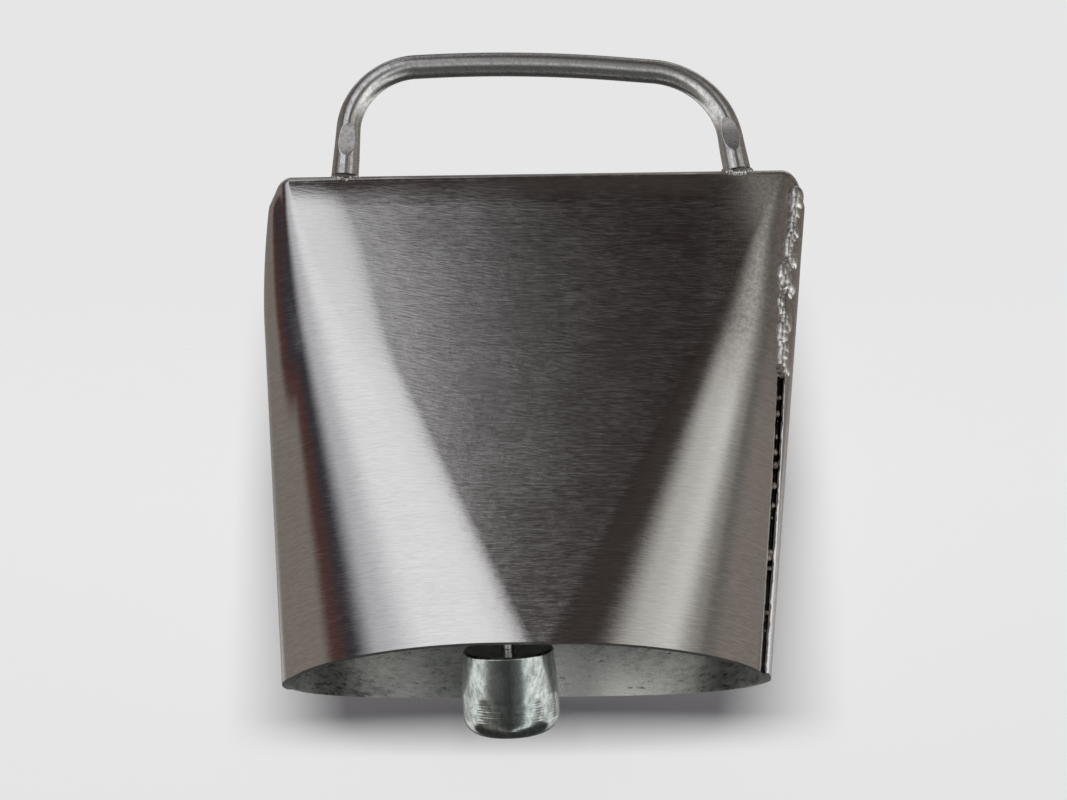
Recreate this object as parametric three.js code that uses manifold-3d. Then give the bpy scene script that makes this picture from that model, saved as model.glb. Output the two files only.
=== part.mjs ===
// Alpine cowbell: a folded steel sheet lapped and welded at its sides, a wire bail and a hung clapper.
// Millimetres, +Z up, the wide side along X and the front towards -Y.
// The origin is where the bell hangs: the middle of the bail bar's underside.

import * as THREE from 'three';
import { mergeVertices } from 'three/addons/utils/BufferGeometryUtils.js';
import Module from 'manifold-3d';

// Driving dimensions of the folded sheet. The flat length runs down the panel from the fold to the rim.
const sheetThickness = 1.2;
const foldRadius = 2.6;
const panelLength = 115.5;
const ridgeFlatLeft = 56.0;
const ridgeFlatRight = 58.4;
const ridgeCornerReachLeft = 4.2;
const ridgeCornerReachRight = 5.5;
const ridgeCornerDropLeft = 3.2;
const ridgeCornerDropRight = 5.0;
const shoulderPullLeft = 3.4;
const shoulderPullDepth = 34.0;
const shoulderPullEase = 1.5;
const mouthHalfWidth = 53.4;
const mouthHalfDepth = 27.0;
const mouthFlat = 10.0;

// Driving dimensions of the laps: one sheet edge lies over the other round each side
const lapEdgeReach = 4.8;
const lapTailReach = 9.0;
const lapTopLength = 4.0;
const lapEdgeTopShare = 0.55;
const lapTailTopShare = 0.8;
const lapFullShare = 0.45;

// Driving dimensions of the bail
const bailRodDiameter = 5.5;
const bailClearHeight = 24.0;
const bailFallLeft = 2.2;
const bailFallRight = 5.6;
const bailFootLeft = 40.4;
const bailFootRight = 48.5;
const bailShoulderLeft = 38.8;
const bailShoulderRight = 44.8;
const bailCrownBend = 316.0;
const bailBendLeft = 16.1;
const bailBendRight = 19.6;
const bailFootFlareShare = 0.13;
const bailFootFlareHeight = 14.0;
const pressMarkHeight = 8.0;
const pressMarkLength = 8.6;
const pressMarkDepth = 0.8;

// Driving dimensions of the staple, the ring on it and the clapper
const stapleWire = 2.5;
const stapleSpan = 11.0;
const stapleOffset = 3.6;
const stapleTopDepth = 6.0;
const stapleBarDepth = 21.0;
const stapleBend = 2.6;
const ringWire = 2.2;
const ringBend = 3.1;
const ringStraight = 3.0;
const ringEndGap = 0.5;
const clapperWire = 2.5;
const clapperEyeBend = 3.4;
const clapperEyeTurn = 295.0;
const clapperShankLength = 78.0;
const clapperBend = 30.0;
const clapperBendRadius = 8.0;
const clapperStubLength = 3.0;
const weightLength = 18.6;
const weightTopDiameter = 19.8;
const weightDiameter = 21.2;
const weightTaperShare = 0.5;
const weightEdgeRadius = 4.2;
const weightBoreDepth = 12.0;

// Driving dimensions of the welds
const seamWeldDiameter = 2.6;
const seamWeldTopLength = 2.0;
const seamWeldLength = 39.0;
const seamWeldLumps = 9;
const seamWeldLumpShare = 0.16;
const footWeldSpreadLeft = 3.7;
const footWeldSpreadRight = 3.9;
const footWeldHeightShare = 0.6;
const footWeldDepthShare = 1.25;
const stapleWeldSpread = 3.4;

// Clearances, and the one overrun of every cut
const weldGap = 0.3;
const boreGap = 0.3;
const seatGap = 0.3;
const overrun = 2.0;

// How finely the round forms are cut into facets
const flatSteps = 3;
const cornerSteps = 8;
const lapSteps = 9;
const wallSteps = 11;
const wallStepGrowth = 1.5;
const foldSteps = 5;
const rodSides = 16;
const rodStep = 3.9;
const wireSides = 10;
const wireStep = 1.25;
const weldSides = 8;
const weightEdgeSteps = 6;
const rimArcPieces = 64;
const lapLookBack = 1.0;

const wasm = await Module();
wasm.setup();

const degrees = Math.PI / 180;
const quarterTurn = Math.PI / 2;
const halfTurn = Math.PI;
const { lerp, smoothstep } = THREE.MathUtils;

// Solids and skins

function solidOf(geometry) {
  const bare = geometry.clone();
  bare.deleteAttribute('normal');
  bare.deleteAttribute('uv');
  const merged = mergeVertices(bare);
  return new wasm.Manifold(new wasm.Mesh({
    numProp: 3,
    vertProperties: new Float32Array(merged.attributes.position.array),
    triVerts: new Uint32Array(merged.index.array),
  }));
}

function geometryOf(solid) {
  const mesh = solid.getMesh();
  const geometry = new THREE.BufferGeometry();
  geometry.setAttribute('position', new THREE.BufferAttribute(mesh.vertProperties, 3));
  geometry.setIndex(new THREE.BufferAttribute(mesh.triVerts, 1));
  geometry.computeVertexNormals();
  return geometry;
}

// A closed skin over rings of points. The first and the last ring are folded shut, onto a line or a point.
function skinOf(rings) {
  const count = rings[0].length;
  const corners = [];
  for (let row = 0; row + 1 < rings.length; row += 1) {
    for (let step = 0; step < count; step += 1) {
      const next = (step + 1) % count;
      const a = row * count + step;
      const b = row * count + next;
      corners.push([a, a + count, b], [b, a + count, b + count]);
    }
  }
  const loose = new THREE.BufferGeometry().setFromPoints(rings.flat());
  loose.setIndex(corners.flat());
  const skin = mergeVertices(loose);
  const index = Array.from(skin.index.array);
  const kept = [];
  for (let at = 0; at < index.length; at += 3) {
    const [a, b, c] = index.slice(at, at + 3);
    if (a !== b && b !== c && c !== a) kept.push(a, b, c);
  }
  skin.setIndex(kept);
  skin.computeVertexNormals();
  return skin;
}

function ballOf(center, spread) {
  const ball = new THREE.SphereGeometry(1, 2 * weldSides, weldSides);
  return ball.scale(spread.x, spread.y, spread.z).translate(center.x, center.y, center.z);
}

// Bent wire and rod

class BendArc extends THREE.Curve {
  constructor(center, start, axis, angle) {
    super();
    this.center = center;
    this.spoke = start.clone().sub(center);
    this.axis = axis;
    this.angle = angle;
  }

  getPoint(share, target = new THREE.Vector3()) {
    return target.copy(this.spoke).applyAxisAngle(this.axis, this.angle * share).add(this.center);
  }
}

// A path through corner points, each inner corner rounded to its bend radius
function bentPath(corners, bends) {
  const path = new THREE.CurvePath();
  let from = corners[0];
  for (let at = 1; at + 1 < corners.length; at += 1) {
    const inward = corners[at].clone().sub(corners[at - 1]).normalize();
    const outward = corners[at + 1].clone().sub(corners[at]).normalize();
    const angle = inward.angleTo(outward);
    const axis = inward.clone().cross(outward).normalize();
    const radius = bends[at - 1];
    const start = corners[at].clone().addScaledVector(inward, -radius * Math.tan(angle / 2));
    const center = start.clone().addScaledVector(axis.clone().cross(inward), radius);
    const arc = new BendArc(center, start, axis, angle);
    path.add(new THREE.LineCurve3(from, start));
    path.add(arc);
    from = arc.getPoint(1);
  }
  path.add(new THREE.LineCurve3(from, corners.at(-1)));
  return path;
}

function rodAlong(path, diameter, sides, step) {
  const section = new THREE.Shape();
  for (let side = 0; side < sides; side += 1) {
    const turn = 2 * halfTurn * side / sides;
    const x = diameter / 2 * Math.cos(turn);
    const y = diameter / 2 * Math.sin(turn);
    if (side === 0) section.moveTo(x, y);
    else section.lineTo(x, y);
  }
  section.closePath();
  const steps = Math.ceil(path.getLength() / step);
  return new THREE.ExtrudeGeometry(section, { steps, bevelEnabled: false, extrudePath: path, curveSegments: 1 });
}

// The folded sheet
//
// Each panel runs flat from the fold to the short flat at the middle of the mouth. Round each side it
// opens as a fan of straight lines, from the ridge's small corner to a quarter of the mouth's ellipse.
// Depths are counted down from the top of the ridge. A side's bend angle runs from the face that shows
// its lap's edge, 0, round to the other face, 180 degrees: the two sides are a half turn of each other.

const panelSlope = Math.asin(mouthHalfDepth / Math.hypot(foldRadius, panelLength))
  - Math.atan(foldRadius / panelLength);
const tangentHalfDepth = foldRadius * Math.cos(panelSlope);
const tangentDepth = foldRadius * (1 - Math.sin(panelSlope));
const mouthCornerReach = mouthHalfWidth - sheetThickness - mouthFlat / 2;

const rightSide = {
  sign: 1,
  ridgeFlat: ridgeFlatRight,
  cornerReach: ridgeCornerReachRight - sheetThickness,
  cornerDrop: ridgeCornerDropRight,
  shoulderPull: 0,
};
const leftSide = {
  sign: -1,
  ridgeFlat: ridgeFlatLeft,
  cornerReach: ridgeCornerReachLeft - sheetThickness,
  cornerDrop: ridgeCornerDropLeft,
  shoulderPull: shoulderPullLeft,
};

function otherSide(side) {
  return side === rightSide ? leftSide : rightSide;
}

function mouthArcLength(bend) {
  const turn = Math.min(bend, halfTurn - bend);
  const arcPiece = turn / rimArcPieces;
  let length = 0;
  for (let piece = 0; piece < rimArcPieces; piece += 1) {
    const middle = arcPiece * (piece + 1 / 2);
    length += arcPiece * Math.hypot(mouthCornerReach * Math.cos(middle), mouthHalfDepth * Math.sin(middle));
  }
  return length;
}

// The sheet's lower edge is cut straight and the sheet doesn't stretch, so the rim rises at the panels' middles
function rimDepth(side, bend) {
  const lateral = side.ridgeFlat - mouthFlat / 2 - mouthArcLength(bend);
  const inward = side.ridgeFlat - mouthFlat / 2 - mouthCornerReach * Math.sin(bend);
  const outward = mouthHalfDepth * Math.abs(Math.cos(bend)) - tangentHalfDepth;
  return tangentDepth + Math.sqrt(panelLength ** 2 + lateral ** 2 - inward ** 2 - outward ** 2);
}

// Where a side's round begins at the ridge. The left shoulder is drawn in towards the middle, most at its top.
function ridgeEnd(side, depth) {
  return side.ridgeFlat - side.shoulderPull * Math.max(0, 1 - depth / shoulderPullDepth) ** shoulderPullEase;
}

// A point on the fold: climb is the angle up its round, from the panel's slope to a quarter turn
function foldPoint(side, station, climb, inset) {
  const round = Math.sin(station.bend);
  const closing = Math.cos(climb) / Math.cos(panelSlope);
  const falling = (1 - Math.sin(climb)) / (1 - Math.sin(panelSlope));
  const flatDrop = foldRadius - (foldRadius - inset) * Math.sin(panelSlope);
  const depth = lerp(inset, lerp(flatDrop, side.cornerDrop, round ** 2), falling);
  const across = lerp(-ridgeEnd(otherSide(side), depth), ridgeEnd(side, depth), station.flatShare)
    + (side.cornerReach - inset) * round * closing;
  const outward = (foldRadius - inset) * Math.cos(panelSlope) * Math.cos(station.bend) * closing;
  return new THREE.Vector3(side.sign * across, -side.sign * outward, -depth);
}

// A point on the wall: way runs from 0 at the fold to 1 at the rim
function wallPoint(side, station, way, inset) {
  const round = Math.sin(station.bend);
  const facing = Math.cos(station.bend);
  const topOutward = (foldRadius - inset) * Math.cos(panelSlope) * facing;
  const rimOutward = (mouthHalfDepth - inset * Math.cos(panelSlope)) * facing;
  const flatDrop = foldRadius - (foldRadius - inset) * Math.sin(panelSlope);
  const topDepth = lerp(flatDrop, side.cornerDrop, round ** 2);
  const edgeDepth = rimDepth(side, station.bend) + inset * Math.sin(panelSlope) * Math.abs(facing);
  const depth = lerp(topDepth, edgeDepth, way);
  const topAcross = lerp(-ridgeEnd(otherSide(side), depth), ridgeEnd(side, depth), station.flatShare)
    + (side.cornerReach - inset) * round;
  const rimAcross = lerp(-mouthFlat / 2, mouthFlat / 2, station.flatShare) + (mouthCornerReach - inset) * round;
  const across = lerp(topAcross, rimAcross, way);
  return new THREE.Vector3(side.sign * across, -side.sign * lerp(topOutward, rimOutward, way), -depth);
}

function halfDepthAt(way) {
  return lerp(tangentHalfDepth, mouthHalfDepth, way);
}

function lapEdgeBend(way) {
  return Math.acos(Math.min(lapEdgeReach / halfDepthAt(way), lapEdgeTopShare));
}

function lapTailBend(way) {
  return halfTurn - Math.acos(Math.min(lapTailReach / halfDepthAt(way), lapTailTopShare));
}

// The stations round one half of the sheet: a flat, the bare side up to the lap's edge, the lap, the rest
function stationsAt(way) {
  const edge = lapEdgeBend(way);
  const tail = lapTailBend(way);
  const stations = [];
  for (let step = 0; step < flatSteps; step += 1) {
    stations.push({ flatShare: step / flatSteps, bend: 0, lapShare: 0 });
  }
  for (let step = 0; step <= cornerSteps; step += 1) {
    stations.push({ flatShare: 1, bend: edge * step / cornerSteps, lapShare: 0 });
  }
  for (let step = 0; step < lapSteps; step += 1) {
    const rest = (1 - step / lapSteps) / (1 - lapFullShare);
    stations.push({ flatShare: 1, bend: lerp(edge, tail, step / lapSteps), lapShare: smoothstep(rest, 0, 1) });
  }
  for (let step = 0; step < cornerSteps; step += 1) {
    stations.push({ flatShare: 1, bend: lerp(tail, halfTurn, step / cornerSteps), lapShare: 0 });
  }
  return stations;
}

function foldRing(climb, inset) {
  return [rightSide, leftSide].flatMap((side) => stationsAt(0).map(
    (station) => foldPoint(side, station, climb, inset),
  ));
}

function wallRing(way, inset, lapHeight) {
  return [rightSide, leftSide].flatMap((side) => stationsAt(way).map(
    (station) => wallPoint(side, station, way, inset - lapHeight * station.lapShare),
  ));
}

const climbs = Array.from({ length: foldSteps }, (_, step) => lerp(quarterTurn, panelSlope, step / foldSteps));
const lapTopWay = lapTopLength / panelLength;
const lappedWays = Array.from({ length: wallSteps + 1 }, (_, step) => (
  lerp(lapTopWay, 1, (step / wallSteps) ** wallStepGrowth)
));

function bellBody() {
  const outside = [
    ...climbs.map((climb) => foldRing(climb, 0)),
    wallRing(0, 0, 0),
    ...lappedWays.map((way) => wallRing(way, 0, sheetThickness)),
  ];
  const inside = [
    ...climbs.map((climb) => foldRing(climb, sheetThickness)),
    wallRing(0, sheetThickness, 0),
    ...lappedWays.map((way) => wallRing(way, sheetThickness, 0)),
  ];
  return skinOf([...outside, ...inside.reverse()]);
}

// The sheet's outline, or the room inside it, as one block that is shut across the mouth
function sheetBlock(inset) {
  const rings = [
    ...climbs.map((climb) => foldRing(climb, inset)),
    wallRing(0, inset, 0),
    ...lappedWays.map((way) => wallRing(way, inset, 0)),
  ];
  const middle = new THREE.Vector3(0, 0, -rimDepth(rightSide, quarterTurn));
  const shut = rings.at(-1).map(() => middle);
  return solidOf(skinOf([...rings, shut]));
}

// The lumpy bead along the upper part of a lap's edge
function seamWeld(side) {
  const radius = seamWeldDiameter / 2;
  const standOff = radius + weldGap;
  const steps = 3 * seamWeldLumps;
  const centers = [];
  for (let step = 0; step <= steps; step += 1) {
    const way = (seamWeldTopLength + seamWeldLength * step / steps) / panelLength;
    const edge = { flatShare: 1, bend: lapEdgeBend(way) };
    const before = { flatShare: 1, bend: edge.bend - lapLookBack * degrees };
    const raised = wallPoint(side, edge, way, -standOff);
    const behind = wallPoint(side, before, way, -standOff);
    centers.push(raised.add(behind.sub(raised).setLength(standOff)));
  }
  const rings = centers.map((center, step) => {
    const last = centers[Math.max(step - 1, 0)];
    const next = centers[Math.min(step + 1, steps)];
    const along = next.clone().sub(last).normalize();
    const first = new THREE.Vector3(0, 1, 0).cross(along).normalize();
    const second = first.clone().cross(along);
    const lump = 1 - seamWeldLumpShare * (1 + Math.cos(2 * halfTurn * seamWeldLumps * step / steps)) / 2;
    const open = step === 0 || step === steps ? 0 : 1;
    return Array.from({ length: weldSides }, (_, spoke) => {
      const turn = 2 * halfTurn * spoke / weldSides;
      return center.clone()
        .addScaledVector(first, open * radius * lump * Math.cos(turn))
        .addScaledVector(second, open * radius * lump * Math.sin(turn));
    });
  });
  return skinOf(rings);
}

// The bail and its foot welds

const bailRadius = bailRodDiameter / 2;
const barHeight = bailClearHeight + bailRadius;

// The bar is crowned: it falls a little from its middle towards both bends
function bailPath() {
  const crownTurn = (bailFallLeft + bailFallRight) * degrees;
  const crownHeight = barHeight + bailCrownBend * (1 / Math.cos(crownTurn / 2) - 1);
  const heightLeft = crownHeight - bailShoulderLeft * Math.tan(bailFallLeft * degrees);
  const heightRight = crownHeight - bailShoulderRight * Math.tan(bailFallRight * degrees);
  const corners = [
    new THREE.Vector3(-bailFootLeft, 0, -overrun),
    new THREE.Vector3(-bailShoulderLeft, 0, heightLeft),
    new THREE.Vector3(0, 0, crownHeight),
    new THREE.Vector3(bailShoulderRight, 0, heightRight),
    new THREE.Vector3(bailFootRight, 0, -overrun),
  ];
  return bentPath(corners, [bailBendLeft, bailCrownBend, bailBendRight]);
}

// The feet were pressed in a die, so they are wider and thinner than the rod
function bailRod(grow) {
  const rod = rodAlong(bailPath(), bailRodDiameter + 2 * grow, rodSides, rodStep);
  const corners = rod.attributes.position;
  for (let at = 0; at < corners.count; at += 1) {
    const x = corners.getX(at);
    const foot = x < 0 ? -bailFootLeft : bailFootRight;
    const fade = smoothstep(bailFootFlareHeight - corners.getZ(at), 0, bailFootFlareHeight);
    const flare = 1 + bailFootFlareShare * fade;
    corners.setX(at, foot + (x - foot) * flare);
    corners.setY(at, corners.getY(at) / flare);
  }
  return solidOf(rod);
}

function bailHandle() {
  const sawnBlock = new THREE.BoxGeometry(2 * (bailFootRight + bailRodDiameter), 2 * bailRodDiameter, 2 * overrun);
  sawnBlock.translate(0, 0, weldGap - overrun);
  let handle = bailRod(0).subtract(solidOf(sawnBlock));
  const dieRadius = pressMarkLength ** 2 / (8 * pressMarkDepth);
  for (const foot of [-bailFootLeft, bailFootRight]) {
    const die = new THREE.CylinderGeometry(dieRadius, dieRadius, 2 * bailRodDiameter, 4 * rodSides);
    die.rotateZ(quarterTurn);
    die.translate(foot, -(bailRadius + dieRadius - pressMarkDepth), pressMarkHeight);
    handle = handle.subtract(solidOf(die));
  }
  return geometryOf(handle);
}

function footWeld(foot, spread) {
  const center = new THREE.Vector3(foot, 0, weldGap);
  const lump = solidOf(ballOf(center, new THREE.Vector3(
    spread,
    footWeldDepthShare * spread,
    footWeldHeightShare * spread,
  )));
  return geometryOf(lump.subtract(sheetBlock(-weldGap)).subtract(bailRod(weldGap)));
}

// The staple inside the fold and its welds

function staplePath() {
  const halfSpan = stapleSpan / 2;
  const corners = [
    new THREE.Vector3(-halfSpan, 0, -stapleTopDepth),
    new THREE.Vector3(-halfSpan, 0, -stapleBarDepth),
    new THREE.Vector3(halfSpan, 0, -stapleBarDepth),
    new THREE.Vector3(halfSpan, 0, -stapleTopDepth),
  ];
  return bentPath(corners, [stapleBend, stapleBend]);
}

function stapleOf(grow) {
  return rodAlong(staplePath(), stapleWire + 2 * grow, wireSides, wireStep).translate(-stapleOffset, 0, 0);
}

function stapleWeld(legPlace) {
  const center = new THREE.Vector3(legPlace, 0, -stapleTopDepth);
  const spread = new THREE.Vector3(stapleWeldSpread, stapleWeldSpread, stapleWeldSpread);
  const room = sheetBlock(sheetThickness + weldGap);
  return geometryOf(solidOf(ballOf(center, spread)).intersect(room).subtract(solidOf(stapleOf(weldGap))));
}

// The ring that hangs on the staple: its origin is the middle of the staple's bar, and its ends meet on one side

const ringSeatDrop = ringBend - ringWire / 2 - stapleWire / 2 - seatGap;
const ringFootDrop = ringSeatDrop + ringStraight + ringBend;

function clapperRing() {
  const sideways = new THREE.Vector3(1, 0, 0);
  const reach = new THREE.Vector3(0, ringBend, 0);
  const upper = new THREE.Vector3(0, 0, -ringSeatDrop);
  const lower = new THREE.Vector3(0, 0, -ringSeatDrop - ringStraight);
  const meeting = upper.clone().lerp(lower, 1 / 2).add(reach);
  const halfGap = new THREE.Vector3(0, 0, ringEndGap / 2);
  const path = new THREE.CurvePath();
  path.add(new THREE.LineCurve3(meeting.clone().add(halfGap), upper.clone().add(reach)));
  path.add(new BendArc(upper, upper.clone().add(reach), sideways, halfTurn));
  path.add(new THREE.LineCurve3(upper.clone().sub(reach), lower.clone().sub(reach)));
  path.add(new BendArc(lower, lower.clone().sub(reach), sideways, halfTurn));
  path.add(new THREE.LineCurve3(lower.clone().add(reach), meeting.clone().sub(halfGap)));
  return rodAlong(path, ringWire, wireSides, wireStep);
}

// The clapper, with its origin at the middle of the ring's foot, which its eye hangs on.
// Its wire runs up from the weight's bore, over one bend, up the shank and round the eye.

const eyeSeatDrop = clapperEyeBend - clapperWire / 2 - ringWire / 2 - seatGap;
const bendAngle = clapperBend * degrees;
const bendCorner = new THREE.Vector3(-clapperEyeBend, 0, -eyeSeatDrop - clapperShankLength);
const weightAxis = new THREE.Vector3(0, Math.sin(bendAngle), -Math.cos(bendAngle));
const weightTop = bendCorner.clone().addScaledVector(
  weightAxis,
  clapperBendRadius * Math.tan(bendAngle / 2) + clapperStubLength,
);

function clapperRod() {
  const wireEnd = weightTop.clone().addScaledVector(weightAxis, weightBoreDepth - boreGap);
  const eyeCenter = new THREE.Vector3(0, 0, -eyeSeatDrop);
  const eyeStart = new THREE.Vector3(-clapperEyeBend, 0, -eyeSeatDrop);
  const path = bentPath([wireEnd, bendCorner, eyeStart], [clapperBendRadius]);
  path.add(new BendArc(eyeCenter, eyeStart, new THREE.Vector3(0, 1, 0), clapperEyeTurn * degrees));
  return rodAlong(path, clapperWire, wireSides, wireStep);
}

function clapperWeight() {
  const radius = weightDiameter / 2;
  const boreRadius = clapperWire / 2 + boreGap;
  const profile = [new THREE.Vector2(0, -weightLength)];
  for (let step = 0; step <= weightEdgeSteps; step += 1) {
    const turn = quarterTurn * step / weightEdgeSteps;
    profile.push(new THREE.Vector2(
      radius - weightEdgeRadius * (1 - Math.sin(turn)),
      weightEdgeRadius * (1 - Math.cos(turn)) - weightLength,
    ));
  }
  profile.push(new THREE.Vector2(radius, -weightLength * weightTaperShare));
  profile.push(new THREE.Vector2(weightTopDiameter / 2, 0));
  profile.push(new THREE.Vector2(boreRadius, 0));
  profile.push(new THREE.Vector2(boreRadius, -weightBoreDepth));
  profile.push(new THREE.Vector2(0, -weightBoreDepth));
  return new THREE.LatheGeometry(profile, 2 * rodSides).rotateX(quarterTurn);
}

// The middle of the material of some pieces, seen from the group that holds them
function balancePoint(pieces) {
  const balance = new THREE.Vector3();
  let total = 0;
  for (const piece of pieces) {
    piece.updateMatrix();
    const placed = piece.geometry.clone().applyMatrix4(piece.matrix);
    const corners = (placed.index ? placed.toNonIndexed() : placed).attributes.position;
    const [a, b, c] = [new THREE.Vector3(), new THREE.Vector3(), new THREE.Vector3()];
    for (let at = 0; at < corners.count; at += 3) {
      a.fromBufferAttribute(corners, at);
      b.fromBufferAttribute(corners, at + 1);
      c.fromBufferAttribute(corners, at + 2);
      const wedge = a.dot(b.clone().cross(c)) / 6;
      balance.addScaledVector(a.add(b).add(c), wedge / 4);
      total += wedge;
    }
  }
  return balance.divideScalar(total);
}

// The assembly

const brushedSteel = { color: 0x8f8a86, roughness: 0.35, metalness: 1 };
const handleSteel = { color: 0x9a968f, roughness: 0.3, metalness: 1 };
const weldSteel = { color: 0xb4b0a8, roughness: 0.45, metalness: 1 };
const wireSteel = { color: 0x7c7d80, roughness: 0.35, metalness: 1 };
const platedSteel = { color: 0x87908e, roughness: 0.25, metalness: 1 };

function meshOf(name, geometry, finish) {
  const mesh = new THREE.Mesh(geometry, new THREE.MeshStandardMaterial(finish));
  mesh.name = name;
  return mesh;
}

function clapper() {
  const rod = meshOf('clapper_rod', clapperRod(), wireSteel);
  const weight = meshOf('clapper_weight', clapperWeight(), platedSteel);
  weight.position.copy(weightTop);
  weight.rotation.x = bendAngle;
  const group = new THREE.Group();
  group.add(rod, weight);
  group.position.z = -ringFootDrop;
  // It hangs free, so its balance point is straight below the ring's foot
  const down = new THREE.Vector3(0, 0, -1);
  group.quaternion.setFromUnitVectors(balancePoint([rod, weight]).normalize(), down);
  return group;
}

function hungPieces() {
  const group = new THREE.Group();
  group.position.set(-stapleOffset, 0, -stapleBarDepth);
  group.add(meshOf('clapper_ring', clapperRing(), wireSteel), clapper());
  return group;
}

function bell() {
  const legPlaces = [-stapleOffset - stapleSpan / 2, -stapleOffset + stapleSpan / 2];
  const group = new THREE.Group();
  group.position.z = -bailClearHeight;
  group.add(
    meshOf('bell_body', bellBody(), brushedSteel),
    meshOf('seam_weld_right', seamWeld(rightSide), weldSteel),
    meshOf('seam_weld_left', seamWeld(leftSide), weldSteel),
    meshOf('bail_handle', bailHandle(), handleSteel),
    meshOf('bail_weld_left', footWeld(-bailFootLeft, footWeldSpreadLeft), weldSteel),
    meshOf('bail_weld_right', footWeld(bailFootRight, footWeldSpreadRight), weldSteel),
    meshOf('clapper_staple', stapleOf(0), wireSteel),
    meshOf('staple_weld_left', stapleWeld(legPlaces[0]), weldSteel),
    meshOf('staple_weld_right', stapleWeld(legPlaces[1]), weldSteel),
    hungPieces(),
  );
  return group;
}

export default bell();
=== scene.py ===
# %% [markdown]
# # An alpine cowbell
# A bell folded from one steel sheet, with a bail bent from round rod and a turned clapper inside.
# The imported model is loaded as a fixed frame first, so every new piece has a place to go to.
# Sizes are written in millimetres, and mm turns them into the metres that Blender works in.
# +Z is up, X runs along the ridge and -Y faces the viewer.

# %% Load the frame and keep its size
import bpy
import math
from mathutils import Euler, Matrix, Quaternion, Vector


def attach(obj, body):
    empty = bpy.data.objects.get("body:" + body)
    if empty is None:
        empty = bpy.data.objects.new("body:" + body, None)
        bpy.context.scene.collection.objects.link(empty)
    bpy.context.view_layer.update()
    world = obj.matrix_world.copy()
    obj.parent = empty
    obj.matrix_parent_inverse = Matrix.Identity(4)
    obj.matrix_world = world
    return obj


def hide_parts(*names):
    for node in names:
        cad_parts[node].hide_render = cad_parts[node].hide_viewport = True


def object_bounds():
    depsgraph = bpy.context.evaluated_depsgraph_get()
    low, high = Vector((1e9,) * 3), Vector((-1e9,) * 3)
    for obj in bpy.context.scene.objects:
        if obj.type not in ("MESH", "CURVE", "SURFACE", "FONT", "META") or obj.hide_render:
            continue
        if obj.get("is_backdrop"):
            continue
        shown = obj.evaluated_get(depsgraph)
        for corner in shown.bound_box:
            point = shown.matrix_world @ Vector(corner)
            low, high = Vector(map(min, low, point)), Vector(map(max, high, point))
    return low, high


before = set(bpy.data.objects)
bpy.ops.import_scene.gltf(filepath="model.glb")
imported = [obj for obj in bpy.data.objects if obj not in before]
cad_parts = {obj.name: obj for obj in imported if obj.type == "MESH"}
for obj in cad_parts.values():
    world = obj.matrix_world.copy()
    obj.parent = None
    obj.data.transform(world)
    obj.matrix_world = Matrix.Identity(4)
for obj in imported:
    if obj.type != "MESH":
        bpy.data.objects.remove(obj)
cad_bounds = [list(map(float, corner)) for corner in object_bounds()]
bpy.ops.object.select_all(action="DESELECT")
mm = 0.001
print("nodes:", sorted(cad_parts))
print("box of the packed model, mm:", [[round(value / mm, 1) for value in corner] for corner in cad_bounds])

# %% [markdown]
# ## Camera
# The bell was photographed with a long lens from a little below its middle.
# A short lens close by would also fill the picture, but it would spread the mouth against the ridge.
# A long lens keeps the two nearly parallel, so their proportions are easy to compare.

# %% Place the camera
lens_length = 136.5
sensor_width = 36.0
camera_place = Vector((21.56, -863.56, -335.50)) * mm
camera_aim = Vector((2.02, 0.0, -77.29)) * mm
camera_roll = math.radians(-0.4)

camera_data = bpy.data.cameras.new("studio_camera")
camera_data.lens = lens_length
camera_data.sensor_width = sensor_width
camera = bpy.data.objects.new("studio_camera", camera_data)
bpy.context.collection.objects.link(camera)
camera.location = camera_place
view_turn = (camera_aim - camera_place).to_track_quat("-Z", "Y").to_matrix().to_4x4()
camera.rotation_euler = (view_turn @ Euler((0.0, 0.0, camera_roll)).to_matrix().to_4x4()).to_euler()
bpy.context.scene.camera = camera
print("camera distance, mm:", round((camera_aim - camera_place).length / mm, 1))

# %% [markdown]
# ## The folded sheet
# The real bell starts as one flat sheet that is folded over a bar and closed round both sides.
# A loft between the ridge and an oval mouth would bulge, because a loft may stretch and a sheet can't.
# So each point is placed by the smith's rule: the middle stays flat, and each side opens like a fan.
# The fan's straight lines run from the small corner at the ridge to a quarter of the mouth's oval.
# The left corner is pulled in and the right one is squarer, so each side has its own few sizes.

# %% The sheet's sizes
sheet_thickness = 1.2
fold_radius = 2.6
panel_length = 115.5
ridge_depth = 24.0
mouth_half_width = 53.4
mouth_half_depth = 27.0
mouth_flat = 10.0
shoulder_pull_depth = 34.0
shoulder_pull_ease = 1.5
quarter_turn = math.pi / 2

right_side = {"sign": 1, "ridge_flat": 58.4, "corner_reach": 5.5, "corner_drop": 5.0, "shoulder_pull": 0.0}
left_side = {"sign": -1, "ridge_flat": 56.0, "corner_reach": 4.2, "corner_drop": 3.2, "shoulder_pull": 3.4}
right_side["other"] = left_side
left_side["other"] = right_side

panel_slope = math.asin(mouth_half_depth / math.hypot(fold_radius, panel_length))
panel_slope -= math.atan(fold_radius / panel_length)
tangent_half_depth = fold_radius * math.cos(panel_slope)
tangent_depth = fold_radius * (1 - math.sin(panel_slope))
mouth_corner_reach = mouth_half_width - sheet_thickness - mouth_flat / 2
print("the panels lean", round(math.degrees(panel_slope), 2), "degrees")

# %% [markdown]
# The lower edge of the blank is cut straight. The sheet doesn't stretch, so once it is rolled
# its rim rises in the middle of each panel. A curved cut could be drawn by eye, but here the rim's
# depth comes from the length of the fan's lines, and so it agrees with the fold.

# %% How deep the rim hangs
arc_pieces = 64


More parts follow.
